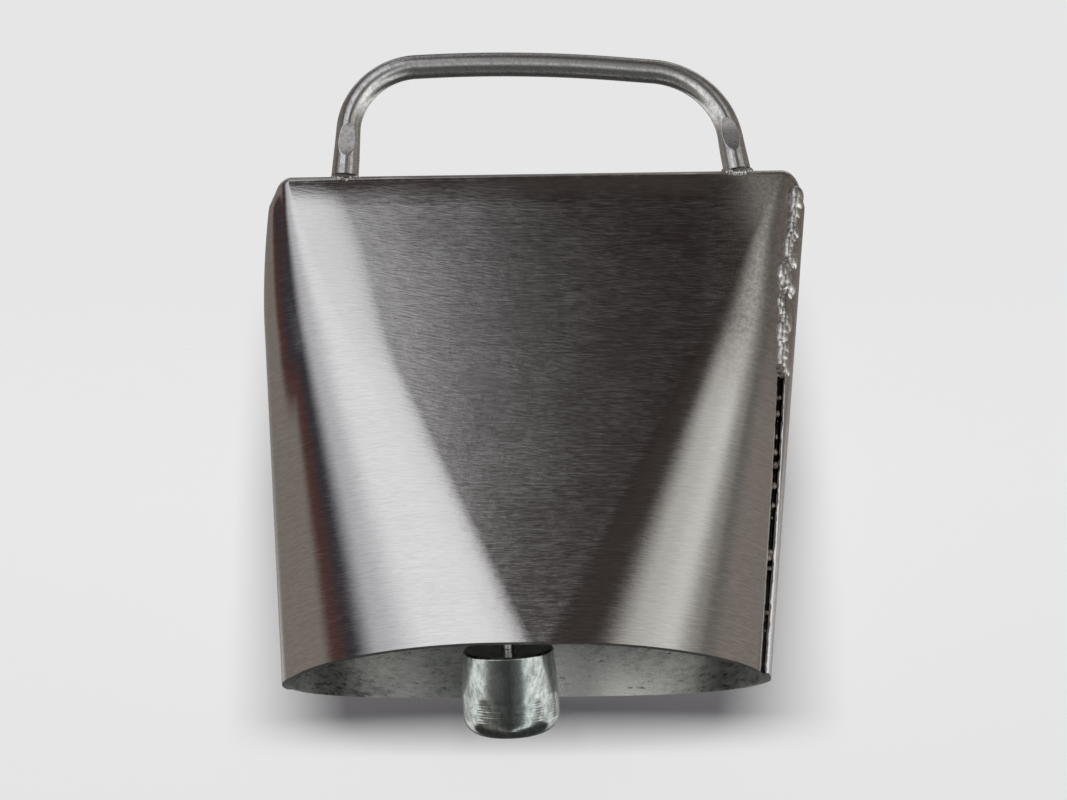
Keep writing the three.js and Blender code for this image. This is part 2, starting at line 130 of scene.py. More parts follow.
def mouth_arc_length(bend):
    turn = min(bend, math.pi - bend)
    step = turn / arc_pieces
    middles = [step * (piece + 0.5) for piece in range(arc_pieces)]
    return sum(step * math.hypot(mouth_corner_reach * math.cos(middle), mouth_half_depth * math.sin(middle))
               for middle in middles)


def rim_depth(side, bend):
    lateral = side["ridge_flat"] - mouth_flat / 2 - mouth_arc_length(bend)
    inward = side["ridge_flat"] - mouth_flat / 2 - mouth_corner_reach * math.sin(bend)
    outward = mouth_half_depth * abs(math.cos(bend)) - tangent_half_depth
    return tangent_depth + math.sqrt(panel_length ** 2 + lateral ** 2 - inward ** 2 - outward ** 2)


rim_rise = rim_depth(right_side, quarter_turn) - rim_depth(right_side, 0.0)
print("the rim rises from the side to a panel's middle by", round(rim_rise, 1), "mm")

# %% [markdown]
# Two rules place every point of the sheet: one for the fold over the bar, one for the wall below it.
# A point has a station round the bell, a way down from the ridge to the rim, and an inset from the
# outer face. Two surfaces drawn by eye would never stay one thickness apart, so both faces of the
# sheet come from the same rules, with an inset of nothing and of one thickness.

# %% Where a point of the sheet lies
def lerp(start, end, share):
    return start + (end - start) * share


def ridge_end(side, depth):
    reached = max(0.0, 1 - depth / shoulder_pull_depth)
    return side["ridge_flat"] - side["shoulder_pull"] * reached ** shoulder_pull_ease


def corner_reach(side):
    return side["corner_reach"] - sheet_thickness


def top_across(side, station, depth, inset):
    across = lerp(-ridge_end(side["other"], depth), ridge_end(side, depth), station["flat_share"])
    return across, (corner_reach(side) - inset) * math.sin(station["bend"])


def flat_drop(inset):
    return fold_radius - (fold_radius - inset) * math.sin(panel_slope)


def fold_point(side, station, climb, inset):
    turned = math.sin(station["bend"])
    closing = math.cos(climb) / math.cos(panel_slope)
    falling = (1 - math.sin(climb)) / (1 - math.sin(panel_slope))
    depth = lerp(inset, lerp(flat_drop(inset), side["corner_drop"], turned ** 2), falling)
    across, corner = top_across(side, station, depth, inset)
    outward = (fold_radius - inset) * math.cos(panel_slope) * math.cos(station["bend"]) * closing
    across += corner * closing
    return Vector((side["sign"] * across, -side["sign"] * outward, -depth - ridge_depth))


def wall_point(side, station, way, inset):
    turned = math.sin(station["bend"])
    facing = math.cos(station["bend"])
    edge_depth = station["rim_depth"] + inset * math.sin(panel_slope) * abs(facing)
    depth = lerp(lerp(flat_drop(inset), side["corner_drop"], turned ** 2), edge_depth, way)
    across, corner = top_across(side, station, depth, inset)
    rim_across = lerp(-mouth_flat / 2, mouth_flat / 2, station["flat_share"])
    rim_across += (mouth_corner_reach - inset) * turned
    top_outward = (fold_radius - inset) * math.cos(panel_slope) * facing
    rim_outward = (mouth_half_depth - inset * math.cos(panel_slope)) * facing
    across = lerp(across + corner, rim_across, way)
    outward = lerp(top_outward, rim_outward, way)
    return Vector((side["sign"] * across, -side["sign"] * outward, -depth - ridge_depth))


right_edge = {"flat_share": 1.0, "bend": quarter_turn, "rim_depth": rim_depth(right_side, quarter_turn)}
mouth_end = wall_point(right_side, right_edge, 1.0, 0.0)
print("right end of the mouth, mm:", [round(value, 1) for value in mouth_end])

# %% [markdown]
# One flap lies over the other round each side. Its cut edge shows as a step, and below the weld
# the edge stands a little off the sheet under it, so a dark crevice runs along its foot.
# A real undercut is made, as it also looks right from the side, and its faces are painted dark as shade as
# well.
# Its ragged height comes from slow and quick waves, which give the same edge at every run.

# %% The lap and its crevice
lap_edge_reach = 4.8
lap_tail_reach = 9.0
lap_top_length = 4.0
lap_edge_top_share = 0.55
lap_tail_top_share = 0.8
crevice_top_height = 1.15
crevice_rim_height = 0.3
crevice_raggedness = 0.13
crevice_wave_counts = (9.0, 23.0)
scatter_turns = (12.9898, 4.1414)
crevice_top_way = 0.34
crevice_opening_way = 0.05


def smooth_share(share):
    held = min(max(share, 0.0), 1.0)
    return held * held * (3.0 - 2.0 * held)


def scatter(seed, reach):
    return reach * math.sin(seed * scatter_turns[0]) * math.cos(seed * scatter_turns[1])


def half_depth_at(way):
    return lerp(tangent_half_depth, mouth_half_depth, way)


def lap_edge_bend(way):
    return math.acos(min(lap_edge_reach / half_depth_at(way), lap_edge_top_share))


def lap_tail_bend(way):
    return math.pi - math.acos(min(lap_tail_reach / half_depth_at(way), lap_tail_top_share))


def crevice_at(way):
    opened = smooth_share((way - crevice_top_way) / crevice_opening_way)
    below = max(0.0, way - crevice_top_way) / (1 - crevice_top_way)
    ragged = sum(scatter(way * count, crevice_raggedness) for count in crevice_wave_counts)
    return opened * (lerp(crevice_top_height, crevice_rim_height, below) + ragged) / sheet_thickness


print("the crevice's height in the middle, mm:", round(crevice_at(0.5) * sheet_thickness, 2))

# %% [markdown]
# The stations are the places, once round a side, where the grid's columns will lie. Even spacing
# would waste faces on the flat and blur the lap's edge. So they are close together where the sheet
# bends, and doubled where the lap's edge and its crevice need sharp corners.

# %% The stations round one side
flat_steps = 24
corner_steps = 60
lap_steps = 40
tail_steps = 40
lap_full_share = 0.45
lap_lift_share = 0.12
lap_lift_fade = 3.0
crevice_undercut = 2.6
crevice_least_reach = 12.0
crevice_reach_spare = 1.0


def stations_at(way):
    edge = lap_edge_bend(way)
    tail = lap_tail_bend(way)
    reach = math.hypot(mouth_corner_reach * way, half_depth_at(way) * (1 - way) + crevice_reach_spare)
    tuck = crevice_undercut / max(reach, crevice_least_reach)
    opening = crevice_at(way)
    rows = [(step / flat_steps, 0.0, 0.0, 0.0) for step in range(flat_steps)]
    rows += [(1.0, edge * step / corner_steps, 0.0, 0.0) for step in range(corner_steps + 1)]
    # The last number marks the crevice's faces, which are painted dark as shade
    rows += [(1.0, edge + tuck, 0.0, 1.0), (1.0, edge + tuck, opening, 1.0), (1.0, edge, opening, 1.0)]
    for step in range(lap_steps):
        rest = (1 - step / lap_steps) / (1 - lap_full_share)
        lift = 1.0 + lap_lift_share * opening * max(0.0, 1 - lap_lift_fade * step / lap_steps)
        rows.append((1.0, lerp(edge, tail, step / lap_steps), smooth_share(rest) * lift, 0.0))
    rows += [(1.0, lerp(tail, math.pi, step / tail_steps), 0.0, 0.0) for step in range(tail_steps)]
    return [dict(zip(("flat_share", "bend", "lap_share", "painted_dark"), row)) for row in rows]


print("stations round one side:", len(stations_at(0.5)))

# %% [markdown]
# ## Roll the blank into the bell
# The sheet's surface is a stack of rings. They go down the outside, over the cut edge at the rim and
# up the inside, where they are one sheet's thickness further in. The rows could also be joined face by
# face in a list, but a grid primitive already has them joined, as the bell starts as a flat blank.

# %% The rings of the sheet
fold_steps = 8
wall_steps = 120


def fold_ring(climb, inset):
    return [fold_point(side, station, climb, inset)
            for side in (right_side, left_side) for station in stations_at(0.0)]


def wall_ring(way, inset, lap_height):
    top_way = lap_top_length / panel_length
    ring = []
    for side in (right_side, left_side):
        for station in stations_at(max(way, top_way)):
            station["rim_depth"] = rim_depth(side, station["bend"])
            raised = inset - lap_height * min(way / top_way, 1.0) * station["lap_share"]
            ring.append(wall_point(side, station, way, raised))
    return ring


climbs = [lerp(quarter_turn, panel_slope, step / fold_steps) for step in range(fold_steps)]
ways = [step / wall_steps for step in range(wall_steps + 1)]
outer_rings = [fold_ring(climb, 0.0) for climb in climbs]
outer_rings += [wall_ring(way, 0.0, sheet_thickness) for way in ways]
inner_rings = [fold_ring(climb, sheet_thickness) for climb in climbs]
inner_rings += [wall_ring(way, sheet_thickness, 0.0) for way in ways]
rings = outer_rings + inner_rings[::-1]
ring_downs = [0.0] * fold_steps + [way * panel_length for way in ways]
ring_downs += ring_downs[::-1]
ring_count = len(rings)
station_count = len(rings[0])
print("stations round the bell:", station_count, "rings:", ring_count)

# %% [markdown]
# The grid's own map is kept for the finish, because a finish that follows the sheet needs to know
# where on the sheet it is. Across, 1 marks the inside, 0 the outside and -1 the crevice under the lap.
# Up, the map says how far down the sheet a point lies.

# %% The flat blank and its map
bpy.ops.mesh.primitive_grid_add(x_subdivisions=station_count, y_subdivisions=ring_count - 1, size=1.0)
bell_sheet = bpy.context.object
bell_sheet.name = "bell_sheet"
sheet_map = bell_sheet.data.uv_layers.active
# Marks for the crevice's faces, which are painted dark as shade
soot_marks = [station["painted_dark"] for station in stations_at(0.5)] * 2
for corner in sheet_map.data:
    row = round(corner.uv.y * (ring_count - 1))
    column = round(corner.uv.x * station_count) % station_count
    corner.uv = (-soot_marks[column] if row < ring_count / 2 else 1.0, ring_downs[row] * mm)
print("corners in the sheet's map:", len(sheet_map.data))

# %% [markdown]
# Each vertex is moved to its ring and station, and the edges that meet are merged, so the bell is
# closed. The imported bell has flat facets, which cut the curves a little short. The smooth sheet is
# drawn in on its left side by that small amount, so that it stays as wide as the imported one.

# %% Move the blank's points to the bell
merge_distance = 0.002


def select_only(piece):
    bpy.ops.object.select_all(action="DESELECT")
    piece.select_set(True)
    bpy.context.view_layer.objects.active = piece


def close_mesh(piece, distance):
    select_only(piece)
    bpy.ops.object.mode_set(mode="EDIT")
    bpy.ops.mesh.select_all(action="SELECT")
    bpy.ops.mesh.remove_doubles(threshold=distance * mm)
    bpy.ops.mesh.normals_make_consistent(inside=False)
    bpy.ops.object.mode_set(mode="OBJECT")


for vertex in bell_sheet.data.vertices:
    column = round((vertex.co.x + 0.5) * station_count)
    row = round((vertex.co.y + 0.5) * (ring_count - 1))
    vertex.co = rings[row][column % station_count] * mm
packed_left = cad_bounds[0][0]
sheet_left = min(vertex.co.x for vertex in bell_sheet.data.vertices)
drawn_in = packed_left / min(packed_left, sheet_left)
for vertex in bell_sheet.data.vertices:
    vertex.co.x *= drawn_in if vertex.co.x < 0 else 1.0
close_mesh(bell_sheet, merge_distance)
print("drawn in on the left by", round((packed_left - sheet_left) / mm, 3), "mm")

# %% [markdown]
# ## Steel finishes
# Steel has no colour of its own on its surface: it shows the room. What makes it look real is how it
# blurs the room. Fine brush lines, clouds of duller metal and small pits change the roughness.
# A picture of real steel could be wrapped round the bell, but noise has no seams and needs no file.
# A few small helpers keep the node trees short: each one adds a node and links what feeds it.

# %% Start a finish
even = (1.0, 1.0, 1.0)
full_range = (0.0, 1.0)


def new_finish(name, **sockets):
    material = bpy.data.materials.new(name)
    material.use_nodes = True
    tree = material.node_tree
    shader = tree.nodes["Principled BSDF"]
    for key, value in sockets.items():
        shader.inputs[key.replace("_", " ")].default_value = value
    return material, tree, shader


def add_node(tree, kind, **values):
    node = tree.nodes.new(kind)
    for key, value in values.items():
        if hasattr(node, key):
            setattr(node, key, value)
        else:
            node.inputs[key.replace("_", " ")].default_value = value
    return node


def noise(tree, stretch, scale, detail, roughness):
    mapping = add_node(tree, "ShaderNodeMapping")
    mapping.inputs["Scale"].default_value = stretch
    coordinates = add_node(tree, "ShaderNodeTexCoord")
    tree.links.new(coordinates.outputs["Object"], mapping.inputs["Vector"])
    node = add_node(tree, "ShaderNodeTexNoise", Scale=scale, Detail=detail, Roughness=roughness)
    tree.links.new(mapping.outputs["Vector"], node.inputs["Vector"])
    return node.outputs["Fac"]


sheet_finish, tree, shader = new_finish(
    "brushed_sheet", Metallic=1.0, Anisotropic=0.5, Anisotropic_Rotation=0.25)
clouds = noise(tree, even, scale=60.0, detail=5.0, roughness=0.6)
grain = noise(tree, even, scale=1800.0, detail=2.0, roughness=0.6)
print(sheet_finish.name, "starts with", len(tree.nodes), "nodes")

# %% [markdown]
# Patterns are joined by small sums. A remap turns one span of a pattern into another, a product lets
# a pattern through only where a mask is white, and a blend goes from one steel tone to the next.
# A map range node's sockets 1 to 4 are the two spans' ends. A mix node has a set of sockets for each
# kind of value, all with the same names, so those for colours are picked by number: 6 and 7, and 2.

# %% Sums, spans and blends
def remap(tree, source, taken, given=full_range, interpolation_type="LINEAR"):
    node = add_node(tree, "ShaderNodeMapRange", interpolation_type=interpolation_type)
    for index, value in enumerate((*taken, *given), start=1):
        node.inputs[index].default_value = value
    tree.links.new(source, node.inputs["Value"])
    return node.outputs["Result"]


def combine(tree, operation, *sources):
    joined = sources[0]
    for source in sources[1:]:
        node = add_node(tree, "ShaderNodeMath", operation=operation)
        for index, part in enumerate((joined, source)):
            if isinstance(part, float):
                node.inputs[index].default_value = part
            else:
                tree.links.new(part, node.inputs[index])
        joined = node.outputs["Value"]
    return joined


def off_middle(tree, source):
    return combine(tree, "ABSOLUTE", source, 0.0)


def blend_tones(tree, share, first, second):
    node = add_node(tree, "ShaderNodeMix", data_type="RGBA")
    tree.links.new(share, node.inputs["Factor"])
    for socket, source in ((node.inputs[6], first), (node.inputs[7], second)):
        if isinstance(source, tuple):
            socket.default_value = (*source, 1.0)
        else:
            tree.links.new(source, socket)
    return node.outputs[2]


haze_span = (0.35, 0.7)
haze_roughness = (0.0, 0.025)
haze = remap(tree, clouds, haze_span, haze_roughness)
print("nodes, with the haze of the clouds:", len(tree.nodes))

# %% [markdown]
# The outside was brushed round the bell with a coarse belt, so its lines run level with the rim.
# Lines set by plain height would be cut off by the curved rim. Here they follow the map, which says
# how far down the sheet a point lies, and a slow sway keeps them from being ruled.
# A second, leaning set comes and goes with the clouds, as where the belt was held by hand.

# %% Where on the sheet a point lies
def sheet_places(tree):
    place = add_node(tree, "ShaderNodeSeparateXYZ")
    coordinates = add_node(tree, "ShaderNodeTexCoord")
    tree.links.new(coordinates.outputs["Object"], place.inputs["Vector"])
    marks = add_node(tree, "ShaderNodeSeparateXYZ")
    map_reader = add_node(tree, "ShaderNodeUVMap", uv_map=sheet_map.name)
    tree.links.new(map_reader.outputs["UV"], marks.inputs["Vector"])
    return place.outputs["X"], place.outputs["Y"], marks.outputs["X"], marks.outputs["Y"]


place_x, place_y, inner, down = sheet_places(tree)
to_front = combine(tree, "MULTIPLY", place_y, -1.0)
print("nodes, with the places:", len(tree.nodes))

# %% [markdown]
# Each set of marks has its count per metre along and across the lines: many across and few along
# makes a line, and fewer along makes it longer. Short lines give the sheen and long ones its streaks.
# The few deepest marks are cut out of the noise as scratches.

# %% The belt's marks
line_sway = 0.7
line_sway_scale = 45.0
short_marks = {"along": 380.0, "across": 4600.0, "detail": 2.0, "roughness": 0.6}
long_marks = {"along": 70.0, "across": 2800.0, "detail": 2.0, "roughness": 0.6}
scratch_marks = {"along": 130.0, "across": 4800.0, "detail": 1.0, "roughness": 0.5}
stroke_marks = {"along": 220.0, "across": 2300.0, "detail": 3.0, "roughness": 0.65, "lean": 0.22}
short_share = 0.72
scratch_span = (0.66, 0.72)
stroke_cloud_span = (0.38, 0.60)
stroke_strengths = (0.6, 3.0)
line_span = (0.38, 0.62)


def belt_lines(tree, along, across, detail, roughness, lean=0.0):
    sway = noise(tree, even, line_sway_scale, detail=1.0, roughness=0.5)
    swayed = combine(tree, "ADD", down, combine(tree, "MULTIPLY", sway, line_sway * mm))
    swayed = combine(tree, "SUBTRACT", swayed, combine(tree, "MULTIPLY", place_x, lean))
    joined = add_node(tree, "ShaderNodeCombineXYZ")
    tree.links.new(combine(tree, "MULTIPLY", place_x, along), joined.inputs["X"])
    tree.links.new(combine(tree, "MULTIPLY", place_y, along), joined.inputs["Y"])
    tree.links.new(combine(tree, "MULTIPLY", swayed, across), joined.inputs["Z"])
    node = add_node(tree, "ShaderNodeTexNoise", Scale=1.0, Detail=detail, Roughness=roughness)
    tree.links.new(joined.outputs["Vector"], node.inputs["Vector"])
    return node.outputs["Fac"]


short_lines = combine(tree, "MULTIPLY", belt_lines(tree, **short_marks), short_share)
long_lines = combine(tree, "MULTIPLY", belt_lines(tree, **long_marks), 1 - short_share)
lines = combine(tree, "ADD", short_lines, long_lines)
scratches = remap(tree, belt_lines(tree, **scratch_marks), scratch_span)
stroke_strength = remap(tree, clouds, stroke_cloud_span, stroke_strengths)
strokes = combine(tree, "MULTIPLY", belt_lines(tree, **stroke_marks), stroke_strength)
print("nodes, with the belt's marks:", len(tree.nodes))

# %% [markdown]
# Beside the seam weld the steel is painted duller and browner, in grains: a painted dark reflection,
# which also stands for the weld's heat tint. It could be painted on by hand, but a mask finds that
# place by itself: it is on the side where the weld is, far from the middle, and above the weld's foot.

# %% The painted dark reflection and heat tint beside the seam weld
seam_side_area = 60.0
seam_tint_reach = (38.0, 46.0)
seam_tint_foot = (47.0, 68.0)
seam_tint_ragged = 20.0
mottle_span = (0.35, 0.65)
mottle_strengths = (0.45, 1.0)


def in_metres(span):
    return tuple(value * mm for value in span)


seam_side = remap(tree, combine(tree, "MULTIPLY", place_x, to_front), (0.0, seam_side_area * mm * mm))
near_seam = remap(tree, off_middle(tree, place_x), in_metres(seam_tint_reach))
ragged_down = combine(tree, "ADD", down, combine(tree, "MULTIPLY", clouds, seam_tint_ragged * mm))
above_foot = remap(tree, ragged_down, in_metres(seam_tint_foot), (1.0, 0.0))
mottling = noise(tree, even, scale=1100.0, detail=3.0, roughness=0.7)
mottled = remap(tree, mottling, mottle_span, mottle_strengths)
# A painted dark reflection beside the seam weld, which also stands for the weld's heat tint
seam_tint_and_painted_reflection = combine(tree, "MULTIPLY", seam_side, near_seam, above_foot, mottled)
print("nodes, with the heat:", len(tree.nodes))

# %% [markdown]
# Brushing leaves bright ridges and duller valleys, so the lines carry a little tone as well as gloss.
# The crevice under the lap is painted almost black as shade. Its ragged edge is a noise added to the map's
# mark.

# %% The outside's tones and gloss
bright_steel = (0.86, 0.85, 0.845)
worn_steel = (0.74, 0.73, 0.72)
seam_tint_and_reflection_tone = (0.44, 0.41, 0.39)
# Painted shade for the crevice under the lap
painted_crevice_shade_tone = (0.05, 0.042, 0.035)
brushed_roughness = (0.07, 0.155)
seam_tint_roughness = 0.14
shade_edge_raggedness = 0.9
shade_edge_span = (0.12, -0.22)
shade_strengths = (0.0, 0.94)
slow_down = (1.0, 1.0, 0.5)

outer_roughness = combine(tree, "ADD", remap(tree, lines, line_span, brushed_roughness), haze)
outer_roughness = combine(tree, "ADD", outer_roughness, combine(tree, "MULTIPLY", seam_tint_and_painted_reflection, seam_tint_roughness))
steel = blend_tones(tree, remap(tree, lines, line_span), worn_steel, bright_steel)
# The painted dark reflection and heat tint make the steel beside the seam darker and browner
steel = blend_tones(tree, seam_tint_and_painted_reflection, steel, seam_tint_and_reflection_tone)
# The crevice under the lap is painted dark as shade, with a ragged edge
shade_edge_noise = noise(tree, slow_down, scale=900.0, detail=4.0, roughness=0.7)
ragged_mark = combine(tree, "ADD", inner, combine(tree, "MULTIPLY", shade_edge_noise, shade_edge_raggedness))
painted_crevice_shade = remap(tree, ragged_mark, shade_edge_span, shade_strengths)
steel = blend_tones(tree, painted_crevice_shade, steel, painted_crevice_shade_tone)
print("nodes, with the outside's tones:", len(tree.nodes))

# %% [markdown]
# The inside was never brushed: it keeps the dull skin of the rolling mill, with clouds and dark pits.
# A second material would need its own slot, so one material blends the two by the map's mark.

# %% The mill skin inside
mill_skin = (0.88, 0.88, 0.86)
mill_shade = (0.58, 0.58, 0.565)
pit_tone = (0.16, 0.15, 0.145)
pit_counts = (330.0, 330.0, 1500.0)
pit_span = (0.65, 0.70)
quick_down = (1.0, 1.0, 2.5)
mill_tone_span = (0.35, 0.65)
mill_gloss_span = (0.3, 0.7)
mill_roughness = (0.22, 0.36)

pits = remap(tree, noise(tree, pit_counts, scale=1.0, detail=3.0, roughness=0.6), pit_span)
mill_clouds = noise(tree, quick_down, scale=420.0, detail=6.0, roughness=0.7)
mill_tone = blend_tones(tree, remap(tree, mill_clouds, mill_tone_span), mill_shade, mill_skin)
mill_tone = blend_tones(tree, pits, mill_tone, pit_tone)
inside = remap(tree, inner, full_range)
tree.links.new(blend_tones(tree, inside, steel, mill_tone), shader.inputs["Base Color"])
inner_roughness = remap(tree, mill_clouds, mill_gloss_span, mill_roughness)
rough_gap = combine(tree, "SUBTRACT", inner_roughness, outer_roughness)
roughness = combine(tree, "ADD", outer_roughness, combine(tree, "MULTIPLY", inside, rough_gap))
tree.links.new(roughness, shader.inputs["Roughness"])
print("nodes, with the mill skin:", len(tree.nodes))

# %% [markdown]
# The solid has a plain fold, plain corners and plain lines where the fans start. On the real sheet
# the steel springs back there and eases over some millimetres. That could be modelled, but the bell
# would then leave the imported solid's shape. What shows is its tilt in the reflections, so it is a bump.
# Each bump hands its normal to the next one, and the belt's lines come last.

# %% Where the sheet eases
spring_length = 7.0
spring_rise = 0.35
corner_zone = (42.0, 62.0)
corner_length = 40.0
corner_rise = 3.6
fan_ease_downs = (6.0, 50.0)
fan_ease_reaches = (14.0, 7.5)
fan_ease_tilt = 0.062


def ease(tree, height, distance, before=None):
    node = add_node(tree, "ShaderNodeBump", invert=True, Strength=1.0, Distance=distance)
    tree.links.new(height, node.inputs["Height"])
    if before is not None:
        tree.links.new(before, node.inputs["Normal"])
    return node.outputs["Normal"]


sprung = remap(tree, down, (0.0, spring_length * mm), (1.0, 0.0))
fold_normal = ease(tree, combine(tree, "MULTIPLY", sprung, sprung), spring_rise * mm)

across = combine(tree, "MULTIPLY", place_x, combine(tree, "SIGN", to_front, 0.0))
fan_slope = (left_side["ridge_flat"] - mouth_flat / 2) / panel_length
fan_line = combine(tree, "ADD", combine(tree, "MULTIPLY", down, fan_slope), -left_side["ridge_flat"] * mm)
from_fan = combine(tree, "SUBTRACT", across, fan_line)
fan_reach = remap(tree, down, in_metres(fan_ease_downs), in_metres(fan_ease_reaches), "SMOOTHSTEP")
eased = remap(tree, combine(tree, "DIVIDE", from_fan, fan_reach), (1.0, -1.0), full_range, "SMOOTHSTEP")
fan_normal = ease(tree, combine(tree, "MULTIPLY", eased, fan_reach), fan_ease_tilt, fold_normal)

past_corner = remap(tree, off_middle(tree, place_x), in_metres(corner_zone))
corner_fade = remap(tree, down, (0.0, corner_length * mm), (1.0, 0.0), "SMOOTHSTEP")
corner_fall = combine(tree, "MULTIPLY", past_corner, past_corner, seam_side, corner_fade)
corner_normal = ease(tree, corner_fall, corner_rise * mm, fan_normal)
print("nodes, with the eased places:", len(tree.nodes))

# %% [markdown]
# Brushed steel spreads light across its lines far more than along them. A radial tangent tells the
# shader which way round the bell is, and the belt's lines and a fine grain give the relief.

# %% The relief, and the sheet is finished
line_depth = 0.06
line_strength = 0.11
grain_share = 0.2
scratch_share = 0.35

relief = combine(tree, "ADD", lines, combine(tree, "MULTIPLY", grain, grain_share))
relief = combine(tree, "SUBTRACT", relief, combine(tree, "MULTIPLY", scratches, scratch_share))
relief = combine(tree, "ADD", relief, strokes)
fine_bump = add_node(tree, "ShaderNodeBump", Strength=line_strength, Distance=line_depth * mm)
tree.links.new(relief, fine_bump.inputs["Height"])
tree.links.new(corner_normal, fine_bump.inputs["Normal"])
tree.links.new(fine_bump.outputs["Normal"], shader.inputs["Normal"])
tangent = add_node(tree, "ShaderNodeTangent", direction_type="RADIAL", axis="Z")
tree.links.new(tangent.outputs["Tangent"], shader.inputs["Tangent"])
bell_sheet.data.materials.clear()
bell_sheet.data.materials.append(sheet_finish)
print("nodes in the whole finish:", len(tree.nodes))

# %% [markdown]
# Every piece ends in the same way, so one helper does it and no step is forgotten. A piece's place
# is put into its mesh, its gentle edges are shaded smooth, it rides on its body, and it stands for
# its imported node, which is hidden.

# %% End a piece
def end_piece(piece, body, stands_for, smooth_degrees=35.0):
    select_only(piece)
    bpy.ops.object.transform_apply(location=True, rotation=True, scale=True)
    bpy.ops.object.shade_smooth_by_angle(angle=math.radians(smooth_degrees))
    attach(piece, body)
    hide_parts(*stands_for)
    piece.data.calc_loop_triangles()
    print(piece.name, "has", len(piece.data.loop_triangles), "triangles")


end_piece(bell_sheet, "bell", ["bell_body"])

# %% [markdown]
# ## The other finishes
# Rod, weld metal, slag and zinc differ in tone and gloss, but all four are blotched. So one helper
# makes a blotched metal: one noise leads from its dull tone to its clean one and from dull to glossy.
# The rod keeps its drawn skin, with stains that the hand and the weather left on it.

# %% A blotched metal, and the bare rod
blotch_gloss_span = (0.35, 0.65)


def blotched_metal(name, blotches, tone_span, tones, gloss, metallic=1.0):
    material, tree, shader = new_finish(name, Metallic=metallic)
    marks = noise(tree, **blotches)
    tree.links.new(blend_tones(tree, remap(tree, marks, tone_span), *tones), shader.inputs["Base Color"])
    tree.links.new(remap(tree, marks, blotch_gloss_span, gloss), shader.inputs["Roughness"])
    print(name, "has", len(tree.nodes), "nodes")
    return material, tree, shader, marks


def roughen(tree, shader, height, strength, depth):
    node = add_node(tree, "ShaderNodeBump", Strength=strength, Distance=depth * mm)
    tree.links.new(height, node.inputs["Height"])
    tree.links.new(node.outputs["Normal"], shader.inputs["Normal"])


clean_rod = (0.80, 0.79, 0.775)
stained_rod = (0.50, 0.50, 0.515)
rod_blotches = {"stretch": even, "scale": 1000.0, "detail": 5.0, "roughness": 0.7}
speck_share = 0.3
rod_finish, tree, shader, stains = blotched_metal(
    "drawn_rod", rod_blotches, tone_span=(0.36, 0.58), tones=(stained_rod, clean_rod), gloss=(0.33, 0.23))
specks = noise(tree, even, scale=2600.0, detail=2.0, roughness=0.6)
rod_relief = combine(tree, "ADD", stains, combine(tree, "MULTIPLY", specks, speck_share))
roughen(tree, shader, rod_relief, strength=0.05, depth=0.2)

# %% [markdown]
# Weld metal froze fast, so it is bright on its drops and scaly between them. The slag that dripped
# from it is a brown glass. It reflects less than metal and is rough where it broke.

# %% Weld metal and slag
weld_bright = (0.88, 0.87, 0.85)
weld_scale = (0.42, 0.395, 0.375)
weld_blotches = {"stretch": even, "scale": 900.0, "detail": 4.0, "roughness": 0.6}
weld_finish, tree, shader, scale_marks = blotched_metal(
    "weld_metal", weld_blotches, tone_span=(0.36, 0.60), tones=(weld_scale, weld_bright),
    gloss=(0.42, 0.22))
roughen(tree, shader, scale_marks, strength=0.18, depth=0.3)

slag_dark = (0.10, 0.08, 0.065)
slag_pale = (0.34, 0.29, 0.25)
slag_blotches = {"stretch": even, "scale": 1300.0, "detail": 3.0, "roughness": 0.6}
slag_finish = blotched_metal(
    "weld_slag", slag_blotches, tone_span=(0.38, 0.60), tones=(slag_dark, slag_pale),
    gloss=(0.55, 0.35), metallic=0.7)[0]

# %% [markdown]
# The clapper's slug is plated with zinc. The plating is glossier and greener than the bell's steel,
# and it stained in runs, so its noise is stretched along the height.

# %% The zinc
bright_zinc = (0.66, 0.71, 0.70)
dull_zinc = (0.30, 0.32, 0.31)
zinc_blotches = {"stretch": (1.0, 1.0, 0.45), "scale": 620.0, "detail": 6.0, "roughness": 0.75}
zinc_finish, tree, shader, runs = blotched_metal(
    "zinc_plating", zinc_blotches, tone_span=(0.38, 0.60), tones=(dull_zinc, bright_zinc),
    gloss=(0.24, 0.10))
roughen(tree, shader, runs, strength=0.06, depth=0.2)

# %% [markdown]
# ## The bail
# The real bail is one piece of round rod, bent cold over a form. A tube along a curve is the closest
# thing to bending a rod: the curve is the rod's middle line, and its bevel gives the rod its thickness.
# It is turned into a mesh at once, so that its feet can be pressed flat as in the smith's die.
# The middle line is a row of corners, and each has a bend of its own, as they are set on a bender.

# %% The bail's sizes
bail_diameter = 5.48
bail_clear_height = 24.0
bail_fall_left = math.radians(2.2)
bail_fall_right = math.radians(5.6)
bail_foot_left = 40.4
bail_foot_right = 48.5
bail_shoulder_left = 38.8
bail_shoulder_right = 44.8
bail_crown_bend = 316.0
bail_bend_left = 16.1
bail_bend_right = 19.6
foot_gap = 0.3

bar_height = bail_clear_height + bail_diameter / 2
crown_height = bar_height + bail_crown_bend * (1 / math.cos((bail_fall_left + bail_fall_right) / 2) - 1)
ridge_top = Vector((0.0, 0.0, -ridge_depth))
bail_corners = [ridge_top + Vector((across, 0.0, up)) for across, up in (
    (-bail_foot_left, foot_gap),
    (-bail_shoulder_left, crown_height - bail_shoulder_left * math.tan(bail_fall_left)),
    (0.0, crown_height),
    (bail_shoulder_right, crown_height - bail_shoulder_right * math.tan(bail_fall_right)),
    (bail_foot_right, foot_gap),
)]
print("the crown's corner stands", round(crown_height, 1), "mm above the ridge")

# %% [markdown]
# A curve with smooth handles would be quick, but its bends would have no even radius. A bender gives
# a true arc between straight runs, and so does this: each corner of the line is cut back to where its
# arc starts and ends, and the arc is turned about its own middle.

# %% Bend a line along straight runs and arcs
straight_share = 4


